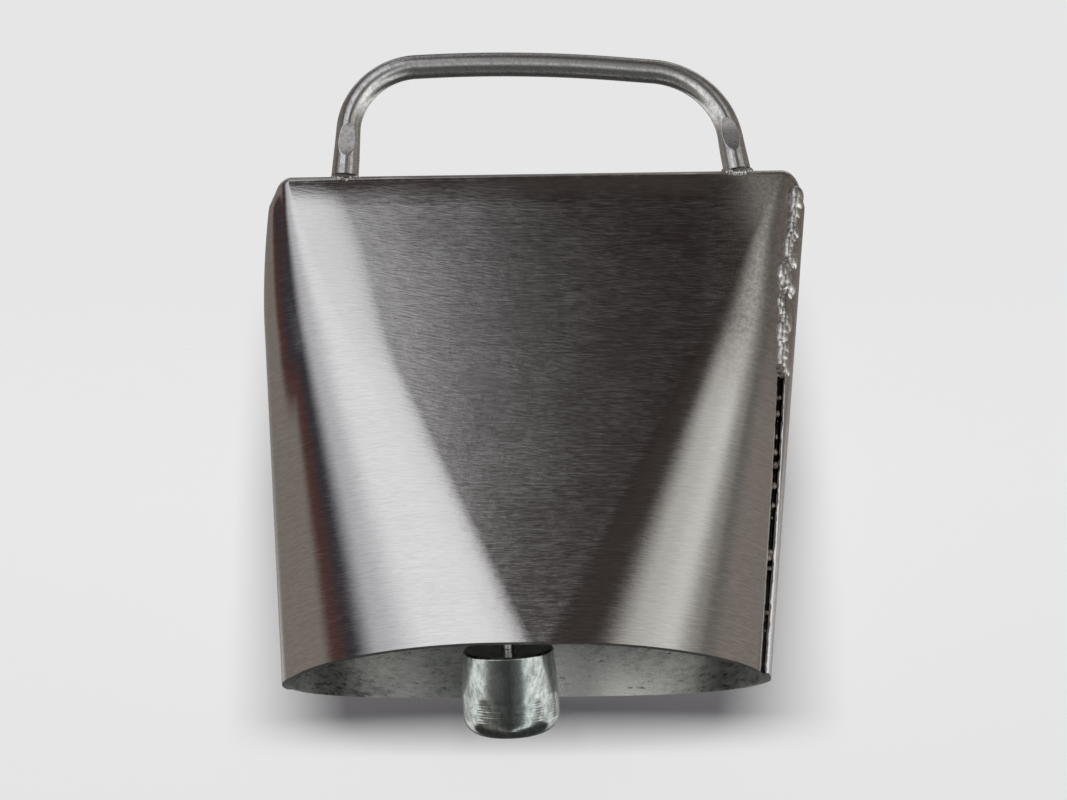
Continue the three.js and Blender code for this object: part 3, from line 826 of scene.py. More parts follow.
def straight_points(start, end, step):
    count = max(1, round((end - start).length / (straight_share * step)))
    return [start.lerp(end, at / count) for at in range(count)]


def arc_points(middle, start, axis, angle, step):
    spoke = start - middle
    count = max(2, math.ceil(spoke.length * angle / step))
    return [middle + Matrix.Rotation(angle * at / count, 3, axis) @ spoke for at in range(count + 1)]


def bent_points(corners, bends, step):
    points = []
    start = corners[0]
    for at in range(1, len(corners) - 1):
        inward = (corners[at] - corners[at - 1]).normalized()
        outward = (corners[at + 1] - corners[at]).normalized()
        angle = inward.angle(outward)
        axis = inward.cross(outward).normalized()
        radius = bends[at - 1]
        arc_start = corners[at] - inward * radius * math.tan(angle / 2)
        middle = arc_start + axis.cross(inward) * radius
        points += straight_points(start, arc_start, step)
        points += arc_points(middle, arc_start, axis, angle, step)[:-1]
        start = middle + Matrix.Rotation(angle, 3, axis) @ (arc_start - middle)
    return points + straight_points(start, corners[-1], step) + [corners[-1]]


rod_step = 0.6
bail_line = bent_points(bail_corners, (bail_bend_left, bail_crown_bend, bail_bend_right), rod_step)
rod_length = sum((end - start).length for start, end in zip(bail_line, bail_line[1:]))
print("rod in the bail, mm:", round(rod_length, 1))

# %% [markdown]
# The same tool makes a rod of every thickness here, from the bail to the clapper's wire. The curve's
# caps close its ends, and merging its doubled points leaves one closed skin.

# %% The bail's rod
bail_roundness = 14
wire_roundness = 10


def rod_along(name, points, diameter, roundness=wire_roundness):
    curve = bpy.data.curves.new(name, "CURVE")
    curve.dimensions = "3D"
    curve.bevel_depth = diameter / 2 * mm
    curve.bevel_resolution = roundness
    curve.use_fill_caps = True
    spline = curve.splines.new("POLY")
    spline.points.add(len(points) - 1)
    for place, point in zip(spline.points, points):
        place.co = (*(point * mm), 1.0)
    rod = bpy.data.objects.new(name, curve)
    bpy.context.collection.objects.link(rod)
    select_only(rod)
    bpy.ops.object.convert(target="MESH")
    close_mesh(bpy.context.object, merge_distance / 2)
    return bpy.context.object


bail = rod_along("bail", bail_line, bail_diameter, bail_roundness)
print("faces in the bent rod:", len(bail.data.polygons))

# %% [markdown]
# The smith pressed each foot between dies, which left a flat, oval mark on its front. The rod's own
# faces are too long to show such a small mark. All of the rod could be made finer, but only the
# feet need it, so only the edges that run along the feet are cut.

# %% Finer faces on the feet
foot_flare_height = 14.0
foot_edge_spare = 1.0
level_edge_fall = 0.5
foot_cuts = 7

select_only(bail)
bpy.ops.object.mode_set(mode="EDIT")
bpy.ops.mesh.select_all(action="DESELECT")
bpy.ops.object.mode_set(mode="OBJECT")
for edge in bail.data.edges:
    ups = [(bail.data.vertices[at].co / mm - ridge_top).z for at in edge.vertices]
    edge.select = max(ups) < foot_flare_height + foot_edge_spare and abs(ups[0] - ups[1]) > level_edge_fall
bpy.ops.object.mode_set(mode="EDIT")
bpy.ops.mesh.subdivide(number_cuts=foot_cuts)
bpy.ops.object.mode_set(mode="OBJECT")
print("faces after the feet are cut finer:", len(bail.data.polygons))

# %% [markdown]
# Pressing made each foot wider and thinner. A cut through the foot would leave a sharp edge round
# the mark, and the real mark's edge is soft. So each vertex is moved instead: it spreads with the
# foot, and where it lies in front of the die's round face it is pushed back onto it.

# %% Press the feet
foot_flare_share = 0.13
press_mark_height = 8.0
press_mark_length = 8.6
press_mark_depth = 0.8


def press_feet(rod):
    die_radius = press_mark_length ** 2 / (8 * press_mark_depth)
    front = bail_diameter / 2 - press_mark_depth
    for vertex in rod.data.vertices:
        place = vertex.co / mm - ridge_top
        foot = -bail_foot_left if place.x < 0 else bail_foot_right
        flare = 1 + foot_flare_share * smooth_share(1 - place.z / foot_flare_height)
        if place.z < foot_flare_height:
            place.x = foot + (place.x - foot) * flare
            place.y /= flare
            away = place.z - press_mark_height
            if abs(away) < die_radius:
                limit = front + die_radius - math.sqrt(die_radius ** 2 - away ** 2)
                place.y = max(place.y, -limit)
        vertex.co = (place + ridge_top) * mm
    print("the die's radius, mm:", round(die_radius, 1))


press_feet(bail)
bail.data.materials.append(rod_finish)
end_piece(bail, "bell", ["bail_handle"], smooth_degrees=40.0)

# %% [markdown]
# ## The staple, the ring and the clapper's wire
# None of these shows from the front, apart from the wire's foot. They are bent in the same way as the
# bail. The staple is a short bar with two legs that are welded into the fold.

# %% Bend the staple
staple_offset = Vector((-3.6, 0.0, 0.0))
staple_half_span = 5.5
staple_top_depth = 6.0
staple_bar_depth = 21.0
staple_wire = 2.5
staple_bend = 2.6
wire_step = 0.3

staple_corners = [Vector((across, 0.0, -depth)) + staple_offset + ridge_top for across, depth in (
    (-staple_half_span, staple_top_depth), (-staple_half_span, staple_bar_depth),
    (staple_half_span, staple_bar_depth), (staple_half_span, staple_top_depth))]
staple = rod_along("staple", bent_points(staple_corners, (staple_bend, staple_bend), wire_step), staple_wire)
staple.data.materials.append(rod_finish)
end_piece(staple, "bell", ["clapper_staple"], smooth_degrees=40.0)

# %% [markdown]
# The ring is oblong and open by a small gap, as a bent ring is. It hangs through the staple in the
# front-to-back plane, so that the clapper can swing to both sides on it. A torus primitive would be
# round and closed, so the ring is bent from two half turns instead.

# %% Bend the ring
ring_wire = 2.2
ring_bend = 3.1
ring_straight = 3.0
ring_end_gap = 0.5
seat_gap = 0.3

hang_place = staple_offset + ridge_top - Vector((0.0, 0.0, staple_bar_depth))
ring_seat_drop = ring_bend - ring_wire / 2 - staple_wire / 2 - seat_gap
ring_top = hang_place - Vector((0.0, 0.0, ring_seat_drop))
ring_low = ring_top - Vector((0.0, 0.0, ring_straight))
ring_reach = Vector((0.0, ring_bend, 0.0))
ring_half_gap = Vector((0.0, 0.0, ring_end_gap / 2))
ring_axis = Vector((1.0, 0.0, 0.0))
ring_meeting = ring_top.lerp(ring_low, 0.5) + ring_reach
ring_points = [ring_meeting + ring_half_gap]
ring_points += arc_points(ring_top, ring_top + ring_reach, ring_axis, math.pi, wire_step)
ring_points += arc_points(ring_low, ring_low - ring_reach, ring_axis, math.pi, wire_step)
ring_points += [ring_meeting - ring_half_gap]
ring = rod_along("hanging_ring", ring_points, ring_wire)
ring.data.materials.append(rod_finish)
end_piece(ring, "ring", ["clapper_ring"], smooth_degrees=40.0)

# %% [markdown]
# The clapper hangs with its balance point plumb, so its wire leans a little and its weight, which sits
# on a bent foot, leans more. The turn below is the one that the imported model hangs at.
# The wire is drawn from its foot upward, and its eye is the last turn of the same line.

# %% Bend the clapper's wire
clapper_turn = Quaternion((0.999088, -0.038153, -0.019162, 0.0))
clapper_place = ring_low - Vector((0.0, 0.0, ring_bend))
clapper_wire = 2.5
clapper_eye_bend = 3.4
clapper_eye_turn = math.radians(295.0)
clapper_shank = 78.0
clapper_bend = math.radians(30.0)
clapper_bend_radius = 8.0
clapper_stub = 3.0
clapper_wire_step = 0.4
bore_depth = 12.0

eye_drop = clapper_eye_bend - clapper_wire / 2 - ring_wire / 2 - seat_gap
bend_corner = Vector((-clapper_eye_bend, 0.0, -eye_drop - clapper_shank))
weight_axis = Vector((0.0, math.sin(clapper_bend), -math.cos(clapper_bend)))
weight_top = bend_corner + weight_axis * (clapper_bend_radius * math.tan(clapper_bend / 2) + clapper_stub)
wire_end = weight_top + weight_axis * (bore_depth - seat_gap)
eye_start = Vector((-clapper_eye_bend, 0.0, -eye_drop))
eye_middle = Vector((0.0, 0.0, -eye_drop))
eye_axis = Vector((0.0, 1.0, 0.0))
wire_points = bent_points([wire_end, bend_corner, eye_start], (clapper_bend_radius,), clapper_wire_step)
wire_points += arc_points(eye_middle, eye_start, eye_axis, clapper_eye_turn, wire_step)[1:]
hung_points = [clapper_turn @ point + clapper_place for point in wire_points]
wire = rod_along("clapper_wire", hung_points, clapper_wire)
wire.data.materials.append(rod_finish)
end_piece(wire, "clapper", ["clapper_rod"], smooth_degrees=40.0)

# %% [markdown]
# ## The clapper's weight
# The weight was turned on a lathe from bar, so it is made as a lathe makes it: half of its outline is
# spun round its axis. A cylinder with a bevel would come close, but the fine grooves that the tool
# left near the foot are part of the outline. They are waves of one pitch, made a little uneven.

# %% The weight's outline
weight_length = 18.6
weight_top_radius = 9.9
weight_radius = 10.54
weight_taper_length = 9.3
weight_edge_radius = 4.2
bore_radius = 1.55
top_edge_bevel = 0.35
outline_step = 0.12
edge_steps = 24
groove_depth = 0.032
groove_pitch = 0.62
groove_zone = (10.5, 17.0)
groove_level_share = 0.5
groove_even_share = 0.3
groove_uneven_share = 0.5
groove_uneven_count = 1.7


def plain_outline():
    outline = [(0.0, bore_depth), (bore_radius, bore_depth), (bore_radius, 0.0)]
    outline += [(weight_top_radius - top_edge_bevel, 0.0), (weight_top_radius, top_edge_bevel)]
    straight_end = weight_length - weight_edge_radius
    count = round((straight_end - top_edge_bevel) / outline_step)
    for step in range(1, count + 1):
        down = lerp(top_edge_bevel, straight_end, step / count)
        radius = lerp(weight_top_radius, weight_radius, min(down / weight_taper_length, 1.0))
        outline.append((radius, down))
    for step in range(1, edge_steps + 1):
        turn = quarter_turn * step / edge_steps
        radius = weight_radius - weight_edge_radius * (1 - math.cos(turn))
        outline.append((radius, straight_end + weight_edge_radius * math.sin(turn)))
    return outline + [(0.0, weight_length)]


def grooved_radius(radius, down):
    if radius <= weight_edge_radius or not groove_zone[0] < down < groove_zone[1]:
        return radius
    wave = groove_level_share + groove_even_share * math.cos(2 * math.pi * down / groove_pitch)
    return radius - groove_depth * (wave + scatter(down * groove_uneven_count, groove_uneven_share))


weight_outline = [(grooved_radius(radius, down), down) for radius, down in plain_outline()]
print("points in the weight's outline:", len(weight_outline))

# %% [markdown]
# Spin works in edit mode on the whole outline, round the height. It leaves the seam and the two poles
# doubled, so they are merged, and the normals are turned outward again.

# %% Turn the weight
lathe_steps = 96

outline_mesh = bpy.data.meshes.new("clapper_slug")
outline_places = [Vector((radius, 0.0, -down)) * mm for radius, down in weight_outline]
outline_mesh.from_pydata(outline_places, [(at, at + 1) for at in range(len(outline_places) - 1)], [])
slug = bpy.data.objects.new("clapper_slug", outline_mesh)
bpy.context.collection.objects.link(slug)
select_only(slug)
bpy.ops.object.mode_set(mode="EDIT")
bpy.ops.mesh.select_all(action="SELECT")
bpy.ops.mesh.spin(steps=lathe_steps, angle=2 * math.pi, center=(0.0, 0.0, 0.0), axis=(0.0, 0.0, 1.0))
bpy.ops.object.mode_set(mode="OBJECT")
close_mesh(slug, merge_distance)
slug_turn = clapper_turn.to_matrix() @ Matrix.Rotation(clapper_bend, 3, "X")
slug_place = clapper_turn @ weight_top + clapper_place
slug.data.transform(Matrix.Translation(slug_place * mm) @ slug_turn.to_4x4())
slug.data.materials.append(zinc_finish)
slug.visible_shadow = False
end_piece(slug, "clapper", ["clapper_weight"], smooth_degrees=30.0)

# %% [markdown]
# ## The welds
# A weld bead is a row of small molten drops that froze one over another. It could be sculpted, or be
# a tube with a bump, but a tube's outline stays smooth. Here each drop is a small ball, set a little
# off the line. Remeshing melts the balls into one skin, and smoothing rounds the valleys between them.

# %% Melt drops into a bead
ball_subdivisions = 3
drop_voxel = 0.14
smoothing_share = 0.5
smoothing_turns = 8


def apply_modifier(piece, kind, **settings):
    modifier = piece.modifiers.new(kind.lower(), kind)
    for key, value in settings.items():
        setattr(modifier, key, value)
    select_only(piece)
    bpy.ops.object.modifier_apply(modifier=modifier.name)


def melt_drops(name, drops, stretch=1.0):
    balls = []
    for place, radius in drops:
        bpy.ops.object.select_all(action="DESELECT")
        bpy.ops.mesh.primitive_ico_sphere_add(
            subdivisions=ball_subdivisions, radius=radius * mm, location=place * mm)
        ball = bpy.context.object
        ball.scale = (1.0, 1.0, stretch)
        balls.append(ball)
    select_only(balls[0])
    for ball in balls:
        ball.select_set(True)
    bpy.ops.object.join()
    bead = bpy.context.object
    bead.name = name
    bpy.ops.object.transform_apply(location=True, rotation=True, scale=True)
    apply_modifier(bead, "REMESH", mode="VOXEL", voxel_size=drop_voxel * mm)
    apply_modifier(bead, "SMOOTH", factor=smoothing_share, iterations=smoothing_turns)
    return bead


def end_weld(name, bead):
    bead.data.materials.append(weld_finish)
    end_piece(bead, "bell", [name], smooth_degrees=60.0)


print("the melted skin has a face every", drop_voxel, "mm")

# %% [markdown]
# The seam weld runs down the lap's edge. A hand that welds weaves, so each drop is a little before or
# behind the edge, and a drop on the upper sheet stands prouder than one on the lower sheet. A straight
# row of equal drops would look like a zip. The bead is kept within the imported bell's width.

# %% The seam welds
seam_weld_top = 2.0
seam_weld_length = 44.0
seam_weld_radius = 1.45
seam_drop_pitch = 1.5
seam_drop_shift = 0.35
seam_drop_spread = 0.4
seam_drop_stretch = 1.5
seam_sink = 0.45
seam_sink_spread = 0.2
seam_lap_rise = 0.7
seam_weave = 0.06
seam_weave_share = 1.3


def on_the_wall(side, way, bend, sunk):
    station = {"flat_share": 1.0, "bend": bend, "rim_depth": rim_depth(side, bend)}
    return wall_point(side, station, way, sunk)


def seam_drops(side, seed):
    drops = []
    for number in range(round(seam_weld_length / seam_drop_pitch)):
        down = seam_weld_top + seam_drop_pitch * (number + 0.5) + scatter(seed + number, seam_drop_shift)
        way = down / panel_length
        weave = seam_weave + scatter(seed + 3 * number + 1, seam_weave_share * seam_weave)
        radius = seam_weld_radius + scatter(seed + 7 * number + 2, seam_drop_spread)
        sunk = seam_sink - seam_lap_rise * weave / (2 * seam_weave)
        sunk += scatter(seed + number, seam_sink_spread)
        drops.append((on_the_wall(side, way, lap_edge_bend(way) + weave, sunk), radius))
    return drops


seam_jobs = ((right_side, "seam_weld_right", 1.0), (left_side, "seam_weld_left", 40.0))
for side, name, seed in seam_jobs:
    bead = melt_drops(name + "_bead", seam_drops(side, seed), seam_drop_stretch)
    for vertex in bead.data.vertices:
        vertex.co.x = min(max(vertex.co.x, cad_bounds[0][0]), cad_bounds[1][0])
    end_weld(name, bead)

# %% [markdown]
# Below the bead, crumbs of slag sit in the crevice under the lap. They stand for no imported node and
# only dress the crevice, so they hide no imported node. They are melted in the same way, but lie
# so far apart that they stay separate crumbs. Each measure is scattered with its own multiple of the
# crumb's number, so that size, place and height don't vary together.

# %% The slag in the crevice
slag_count = 19
slag_top_radius = 0.62
slag_rim_radius = 0.24
slag_radius_share = 0.7
slag_ways = (0.38, 0.95)
slag_way_spread = 0.05
slag_bend = -0.008
slag_bend_spread = 0.014
slag_rise = 0.1
slag_rise_spread = 0.25
slag_stretch = 1.7


def slag_drops(side, seed):
    drops = []
    for number in range(slag_count):
        way = lerp(*slag_ways, number / slag_count) + scatter(seed + 2.3 * number, slag_way_spread)
        bend = lap_edge_bend(way) + slag_bend + scatter(seed + 1.7 * number, slag_bend_spread)
        radius = lerp(slag_top_radius, slag_rim_radius, way)
        radius *= 1 + scatter(seed + 1.3 * number, slag_radius_share)
        sunk = -slag_rise + scatter(seed + 5.1 * number, slag_rise_spread)
        drops.append((on_the_wall(side, way, bend, sunk), radius))
    return drops


for side, name, seed in seam_jobs:
    slag = melt_drops(name + "_slag", slag_drops(side, seed), slag_stretch)
    slag.data.materials.append(slag_finish)
    end_piece(slag, "bell", [], smooth_degrees=60.0)

# %% [markdown]
# The welds at the bail's feet are rings of drops, where a round foot stands on the round fold. Each
# drop is lowered by as much as the fold falls away there. The right weld is the larger one.

# %% Weld the bail's feet
foot_weld_drops = 18
foot_weld_half_depth = 2.35
foot_drop_rise = 0.25
foot_drop_spread = 0.4
left_weld_reach = 2.8
left_weld_radius = 0.45
right_weld_reach = 3.0
right_weld_radius = 0.6


def foot_drops(foot, reach, radius, seed):
    drops = []
    for number in range(foot_weld_drops):
        turn = 2 * math.pi * number / foot_weld_drops
        outward = foot_weld_half_depth * math.sin(turn)
        drop_height = -outward ** 2 / (2 * fold_radius) + scatter(seed + number, foot_drop_rise)
        place = Vector((foot + reach * math.cos(turn), outward, drop_height)) + ridge_top
        drops.append((place, radius * (1 + scatter(seed + 5 * number, foot_drop_spread))))
    return drops


left_drops = foot_drops(-bail_foot_left, left_weld_reach, left_weld_radius, seed=5.0)
right_drops = foot_drops(bail_foot_right, right_weld_reach, right_weld_radius, seed=60.0)
end_weld("bail_weld_left", melt_drops("bail_weld_left_bead", left_drops))
end_weld("bail_weld_right", melt_drops("bail_weld_right_bead", right_drops))

# %% [markdown]
# The staple's legs are welded inside the fold, out of sight. The welds are plain oval rings of drops
# round each leg. The drops are big enough to touch the sheet on both sides, as the weld has to hold.

# %% Weld the staple's legs
staple_weld_drops = 10
staple_weld_reach = 1.7
staple_weld_half_depth = 1.3
staple_weld_radius = 0.95
staple_drop_rise = 0.3
staple_drop_spread = 0.2


def staple_drops(leg, seed):
    drops = []
    for number in range(staple_weld_drops):
        turn = 2 * math.pi * number / staple_weld_drops
        across = leg + staple_weld_reach * math.cos(turn)
        outward = staple_weld_half_depth * math.sin(turn)
        drop_height = -staple_top_depth + scatter(seed + number, staple_drop_rise)
        place = Vector((across, outward, drop_height))
        radius = staple_weld_radius + scatter(seed + 3 * number, staple_drop_spread)
        drops.append((place + ridge_top + staple_offset, radius))
    return drops


left_drops = staple_drops(-staple_half_span, seed=9.0)
right_drops = staple_drops(staple_half_span, seed=21.0)
end_weld("staple_weld_left", melt_drops("staple_weld_left_bead", left_drops))
end_weld("staple_weld_right", melt_drops("staple_weld_right_bead", right_drops))

# %% [markdown]
# ## The room
# Polished steel is mostly a picture of its room, so the room matters more than any lamp.
# The world is one plain pale tone. One bright world would wash the table's shadow out, so it is bright
# for the camera and for reflections only, and dim for everything else.

# %% The pale world
background_tone = (0.791, 0.791, 0.791)
world_fill = 0.15

world = bpy.data.worlds.new("studio")
bpy.context.scene.world = world
world.use_nodes = True
tree = world.node_tree
tree.nodes["Background"].inputs["Color"].default_value = (*background_tone, 1.0)
paths = add_node(tree, "ShaderNodeLightPath")
seen = combine(tree, "MAXIMUM", *(paths.outputs[ray] for ray in (
    "Is Camera Ray", "Is Glossy Ray", "Is Transmission Ray")))
tree.links.new(remap(tree, seen, full_range, (world_fill, 1.0)), tree.nodes["Background"].inputs["Strength"])
print("background tone:", background_tone[0], "fill:", world_fill)

# %% [markdown]
# The tent stands for the room: a bright window to the left, the dark place where the camera stood,
# a dimmer window to the right, brown walls. Many lamps and cards could do the same, but one sphere
# with strips of tone is easier to tune. The camera doesn't see it.
# A strip is an angle in degrees from straight before the bell, with right counted up, and a tone.
# Each height of the room has its own strips, because the bell's flat face, its cones and its inside
# look at different heights.

# %% The strips at eye height and behind
wall_tone = (0.20, 0.175, 0.155)
dark_tone = (0.042, 0.034, 0.031)
eye_strips = [
    (-180, (0.34, 0.33, 0.32)),
    (-150, (0.24, 0.22, 0.20)),
    (-112, wall_tone),
    (-82, wall_tone),
    (-71, (0.075, 0.035, 0.03)),
    (-59, (0.035, 0.033, 0.04)),
    (-44, (0.50, 0.50, 0.52)),
    (-26, (0.84, 0.84, 0.86)),
    (-8, (0.86, 0.86, 0.87)),
    (-2, dark_tone),
    (16, dark_tone),
    (30, (0.50, 0.49, 0.46)),
    (43, (0.64, 0.63, 0.60)),
    (55, (0.26, 0.25, 0.23)),
    (62, (0.14, 0.13, 0.12)),
    (75, wall_tone),
    (112, wall_tone),
    (150, (0.24, 0.22, 0.20)),
    (180, (0.34, 0.33, 0.32)),
]
rear_strips = [
    (-180, (0.26, 0.25, 0.24)),
    (-162, (0.09, 0.08, 0.075)),
    (-142, (0.70, 0.70, 0.71)),
    (-120, wall_tone),
    (120, wall_tone),
    (130, (0.08, 0.07, 0.065)),
    (142, (0.80, 0.80, 0.81)),
    (162, (0.40, 0.39, 0.38)),
    (180, (0.26, 0.25, 0.24)),
]
print("strips at eye height:", len(eye_strips), "and behind:", len(rear_strips))

# %% [markdown]
# Above, the window and the dark place go on, with a sharper edge between them. Below lies the table,
# which is bright, and what lies underneath is seen only by the bell's inside and its lower edges.

# %% The strips above, below and underneath
upper_strips = [
    (-180, (0.22, 0.21, 0.20)),
    (-162, (0.08, 0.07, 0.07)),
    (-142, (0.60, 0.60, 0.61)),
    (-120, wall_tone),
    (-66, (0.06, 0.05, 0.05)),
    (-42, (0.50, 0.50, 0.52)),
    (-14, (0.80, 0.80, 0.82)),
    (-7, (0.70, 0.70, 0.72)),
    (-4, (0.19, 0.185, 0.19)),
    (-1, (0.05, 0.046, 0.046)),
    (3, (0.018, 0.013, 0.011)),
    (14, (0.03, 0.025, 0.022)),
    (40, (0.30, 0.29, 0.27)),
    (60, (0.14, 0.13, 0.12)),
    (124, (0.08, 0.07, 0.065)),
    (144, (0.70, 0.70, 0.71)),
    (164, (0.36, 0.35, 0.34)),
    (180, (0.22, 0.21, 0.20)),
]
low_strips = [
    (-180, (0.10, 0.10, 0.098)),
    (-164, (0.14, 0.14, 0.137)),
    (-146, (0.85, 0.85, 0.83)),
    (-80, (0.95, 0.95, 0.92)),
    (-24, (1.15, 1.15, 1.12)),
    (-6, (0.42, 0.42, 0.41)),
    (6, (0.42, 0.42, 0.41)),
    (24, (1.25, 1.25, 1.22)),
    (80, (1.1, 1.1, 1.07)),
    (146, (0.85, 0.85, 0.83)),
    (164, (0.14, 0.14, 0.137)),
    (180, (0.10, 0.10, 0.098)),
]
under_strips = [
    (-180, (0.05, 0.05, 0.048)),
    (-120, (0.05, 0.045, 0.04)),
    (-60, (0.20, 0.185, 0.165)),
    (-38, (0.10, 0.10, 0.095)),
    (0, (0.05, 0.052, 0.05)),
    (34, (0.16, 0.17, 0.16)),
    (44, (0.78, 0.82, 0.80)),
    (66, (0.86, 0.90, 0.88)),
    (80, (0.10, 0.11, 0.10)),
    (110, (0.05, 0.05, 0.05)),
    (180, (0.05, 0.05, 0.048)),
]
print("brightest tone of the room:", max(max(tone) for degrees, tone in low_strips))

# %% [markdown]
# The tent is a large sphere whose cloth glows. The angle round it and the height are worked out from
# the place on the sphere, and a colour ramp turns the angle into the tones of the strips.

# %% The tent and its angles
tent_radius = 3000.0
half_turn = 180

bpy.ops.object.select_all(action="DESELECT")
bpy.ops.mesh.primitive_uv_sphere_add(segments=64, ring_count=32, radius=tent_radius * mm)
tent = bpy.context.object
tent.name = "studio_tent"
tent.visible_camera = False
tent.visible_diffuse = False
tent_finish = bpy.data.materials.new("tent_cloth")
tent_finish.use_nodes = True
tree = tent_finish.node_tree
tree.nodes.clear()


def object_place(tree):
    place = add_node(tree, "ShaderNodeSeparateXYZ")
    tree.links.new(add_node(tree, "ShaderNodeTexCoord").outputs["Object"], place.inputs["Vector"])
    return place.outputs["X"], place.outputs["Y"], place.outputs["Z"]


def strip_ramp(tree, stops, angle):
    ramp_node = add_node(tree, "ShaderNodeValToRGB")
    tree.links.new(remap(tree, angle, (-math.pi, math.pi)), ramp_node.inputs["Fac"])
    ramp = ramp_node.color_ramp
    ramp.interpolation = "EASE"
    ramp.elements[0].color = (*stops[0][1], 1.0)
    ramp.elements[1].color = (*stops[-1][1], 1.0)
    for degrees, tone in stops[1:-1]:
        ramp.elements.new((degrees + half_turn) / (2 * half_turn)).color = (*tone, 1.0)
    return ramp_node.outputs["Color"]


def in_radians(degrees):
    return tuple(math.radians(value) for value in degrees)


def angle_share(tree, angle, degrees):
    return remap(tree, angle, in_radians(degrees))


tent_x, tent_y, tent_z = object_place(tree)
around = combine(tree, "ARCTAN2", tent_x, combine(tree, "MULTIPLY", tent_y, -1.0))
height = combine(tree, "ARCSINE", combine(tree, "DIVIDE", tent_z, tent_radius * mm), 0.0)
print("nodes in the tent's cloth:", len(tree.nodes))

# %% [markdown]
# The heights are laid over one another, from the walls at eye height to what lies underneath.
# The window's edge leans: high up and low down it is shifted a little, because the edge of the bell's
# left light band leans in the photograph. A dark ceiling hangs before the bell only.

# %% The heights of the room
eye_to_upper = (36.0, 40.0)
eye_to_low = (4.0, -6.0)
low_to_under = (-20.0, -24.0)
ceiling_heights = (45.0, 51.0)
ceiling_ends = (32.0, 20.0)
rear_heights = (13.0, 3.0)
rear_ends = (112.0, 124.0)
upper_lean_heights = (41.0, 43.5)
upper_lean_turns = (-0.6, 3.0)
lower_lean_heights = (40.8, 40.0)
lower_lean_turns = (0.0, 1.0)

upper_lean = remap(tree, height, in_radians(upper_lean_heights), in_radians(upper_lean_turns))
lower_lean = remap(tree, height, in_radians(lower_lean_heights), in_radians(lower_lean_turns))
leaning = combine(tree, "ADD", around, combine(tree, "ADD", upper_lean, lower_lean))
aside = off_middle(tree, around)
high_up = angle_share(tree, height, ceiling_heights)
ceiling = combine(tree, "MULTIPLY", high_up, angle_share(tree, aside, ceiling_ends))
low_down = angle_share(tree, height, rear_heights)
rear = combine(tree, "MULTIPLY", low_down, angle_share(tree, aside, rear_ends))

room = blend_tones(tree, angle_share(tree, height, eye_to_upper), strip_ramp(tree, eye_strips, around),
                   strip_ramp(tree, upper_strips, leaning))
room = blend_tones(tree, ceiling, room, dark_tone)
room = blend_tones(tree, rear, room, strip_ramp(tree, rear_strips, around))
to_low = angle_share(tree, height, eye_to_low)
room = blend_tones(tree, to_low, room, strip_ramp(tree, low_strips, around))
to_under = angle_share(tree, height, low_to_under)
room = blend_tones(tree, to_under, room, strip_ramp(tree, under_strips, around))

glow = add_node(tree, "ShaderNodeEmission")
tree.links.new(room, glow.inputs["Color"])
output = add_node(tree, "ShaderNodeOutputMaterial")
tree.links.new(glow.outputs["Emission"], output.inputs["Surface"])
tent.data.materials.append(tent_finish)
tent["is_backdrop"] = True
print("nodes in the whole cloth:", len(tree.nodes))

# %% [markdown]
# ## The table
# The bell most likely lay on its back on a table, under the camera. Only the part of the table under
# the mouth is made, with edges that fade out, because that is where the soft shadow falls.
# It shows one side only, so it doesn't hide the bell from behind.

# %% The table under the mouth
table_width = 700.0
table_length = 340.0
table_start = 20.0
table_gap = 0.6

table_side = Vector((1.0, 0.0, 0.0))
table_normal = Vector((0.0, -math.cos(panel_slope), -math.sin(panel_slope)))
table_along = Vector((0.0, math.sin(panel_slope), -math.cos(panel_slope)))
back_place = Vector((0.0, tangent_half_depth, -ridge_depth - tangent_depth))
table_middle = back_place + table_along * (table_start + table_length / 2) - table_normal * table_gap
bpy.ops.object.select_all(action="DESELECT")
bpy.ops.mesh.primitive_plane_add(size=1.0)
table_top = bpy.context.object
table_top.name = "table_top"
table_top.scale = (table_width * mm, table_length * mm, 1.0)
bpy.ops.object.transform_apply(location=False, rotation=False, scale=True)
table_axes = Matrix((table_side, table_normal.cross(table_side), table_normal)).transposed()
table_top.matrix_world = Matrix.Translation(table_middle * mm) @ table_axes.to_4x4()
table_top.visible_glossy = False
print("middle of the table, mm:", [round(value, 1) for value in table_middle])

# %% [markdown]
# The table's tone is that of the background, with a trace of glow that lifts the shadow. A mask fades
# it out toward its edges, and a transparent shader takes over where the mask is black.

# %% The table's finish
table_fade = 50.0
table_tone = (0.795, 0.80, 0.79)
table_glow = (0.024, 0.02, 0.03)


def fade_to(tree, place, half_size):
    return remap(tree, off_middle(tree, place), (half_size * mm, (half_size - table_fade) * mm))


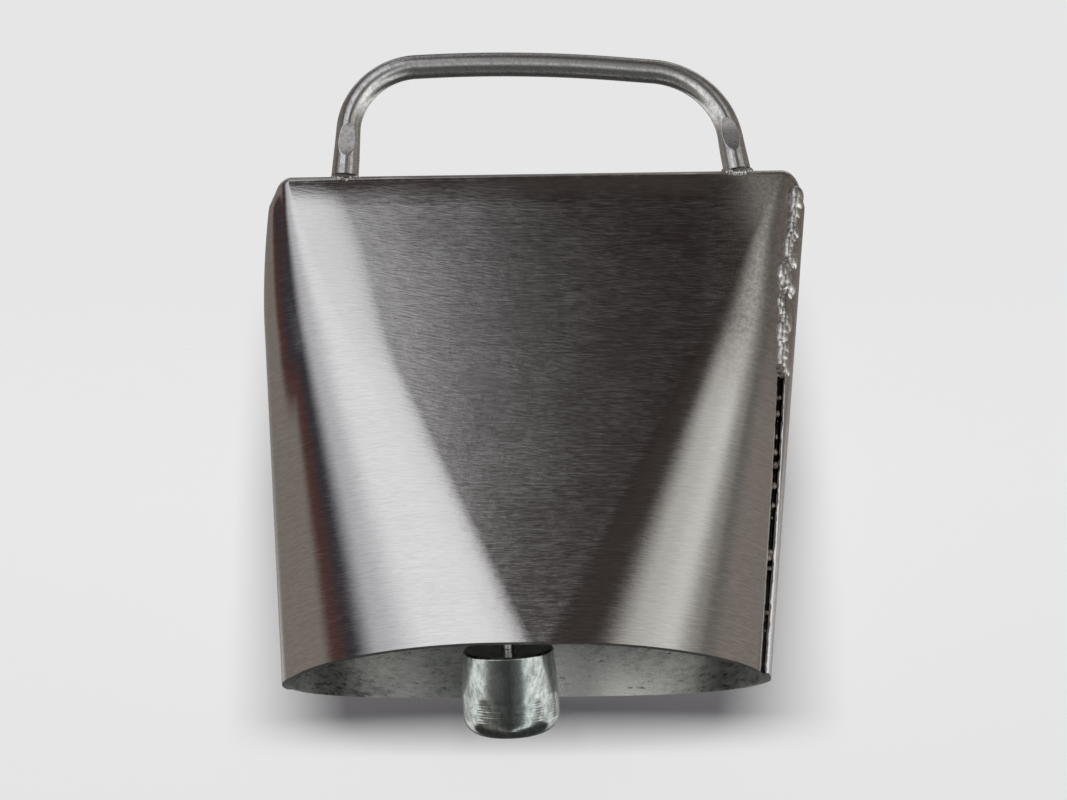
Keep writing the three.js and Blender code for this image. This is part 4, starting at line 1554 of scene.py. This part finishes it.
table_finish, tree, shader = new_finish(
    "pale_table", Roughness=1.0, Specular_IOR_Level=0.0, Base_Color=(*table_tone, 1.0),
    Emission_Color=(*table_glow, 1.0), Emission_Strength=1.0)
table_x, table_y = object_place(tree)[:2]
front_side = combine(tree, "SUBTRACT", 1.0, add_node(tree, "ShaderNodeNewGeometry").outputs["Backfacing"])
solid = combine(tree, "MULTIPLY", fade_to(tree, table_x, table_width / 2),
                fade_to(tree, table_y, table_length / 2), front_side)
clear = add_node(tree, "ShaderNodeBsdfTransparent")
mixed = add_node(tree, "ShaderNodeMixShader")
tree.links.new(solid, mixed.inputs["Fac"])
tree.links.new(clear.outputs["BSDF"], mixed.inputs[1])
tree.links.new(shader.outputs["BSDF"], mixed.inputs[2])
tree.links.new(mixed.outputs["Shader"], tree.nodes["Material Output"].inputs["Surface"])
table_top.data.materials.append(table_finish)
table_top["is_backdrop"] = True
print("nodes in the table's finish:", len(tree.nodes))

# %% [markdown]
# ## The lamp
# The tent lights the steel, but it gives no shadow. One wide soft lamp before the bell lights the
# table and casts the shadow under the mouth. A wide lamp keeps the shadow's edge soft.

# %% The lamp
lamp_width = 2000.0
lamp_height = 360.0
lamp_power = 43.0
lamp_place = Vector((-50.0, -2000.0, 130.0)) * mm
lamp_aim = Vector((0.0, 0.0, -120.0)) * mm

lamp_data = bpy.data.lights.new("soft_box", "AREA")
lamp_data.shape = "RECTANGLE"
lamp_data.size = lamp_width * mm
lamp_data.size_y = lamp_height * mm
lamp_data.energy = lamp_power
lamp = bpy.data.objects.new("soft_box", lamp_data)
bpy.context.collection.objects.link(lamp)
lamp.location = lamp_place
lamp.rotation_euler = (lamp_aim - lamp_place).to_track_quat("-Z", "Y").to_euler()
lamp.visible_glossy = False
print("the lamp stands", round((lamp_aim - lamp_place).length, 2), "m away")

# %% [markdown]
# ## Finish
# The view is set to show tones as they are, and the size of the dressed bell is written beside the
# size of the imported one, so the two can be compared.

# %% Write the sizes and finish
bpy.context.scene.view_settings.view_transform = "Standard"
visual_bounds = [list(map(float, corner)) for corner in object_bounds()]
dressed_box = [[round(value / mm, 1) for value in corner] for corner in visual_bounds]
print("box of the dressed bell, mm:", dressed_box)
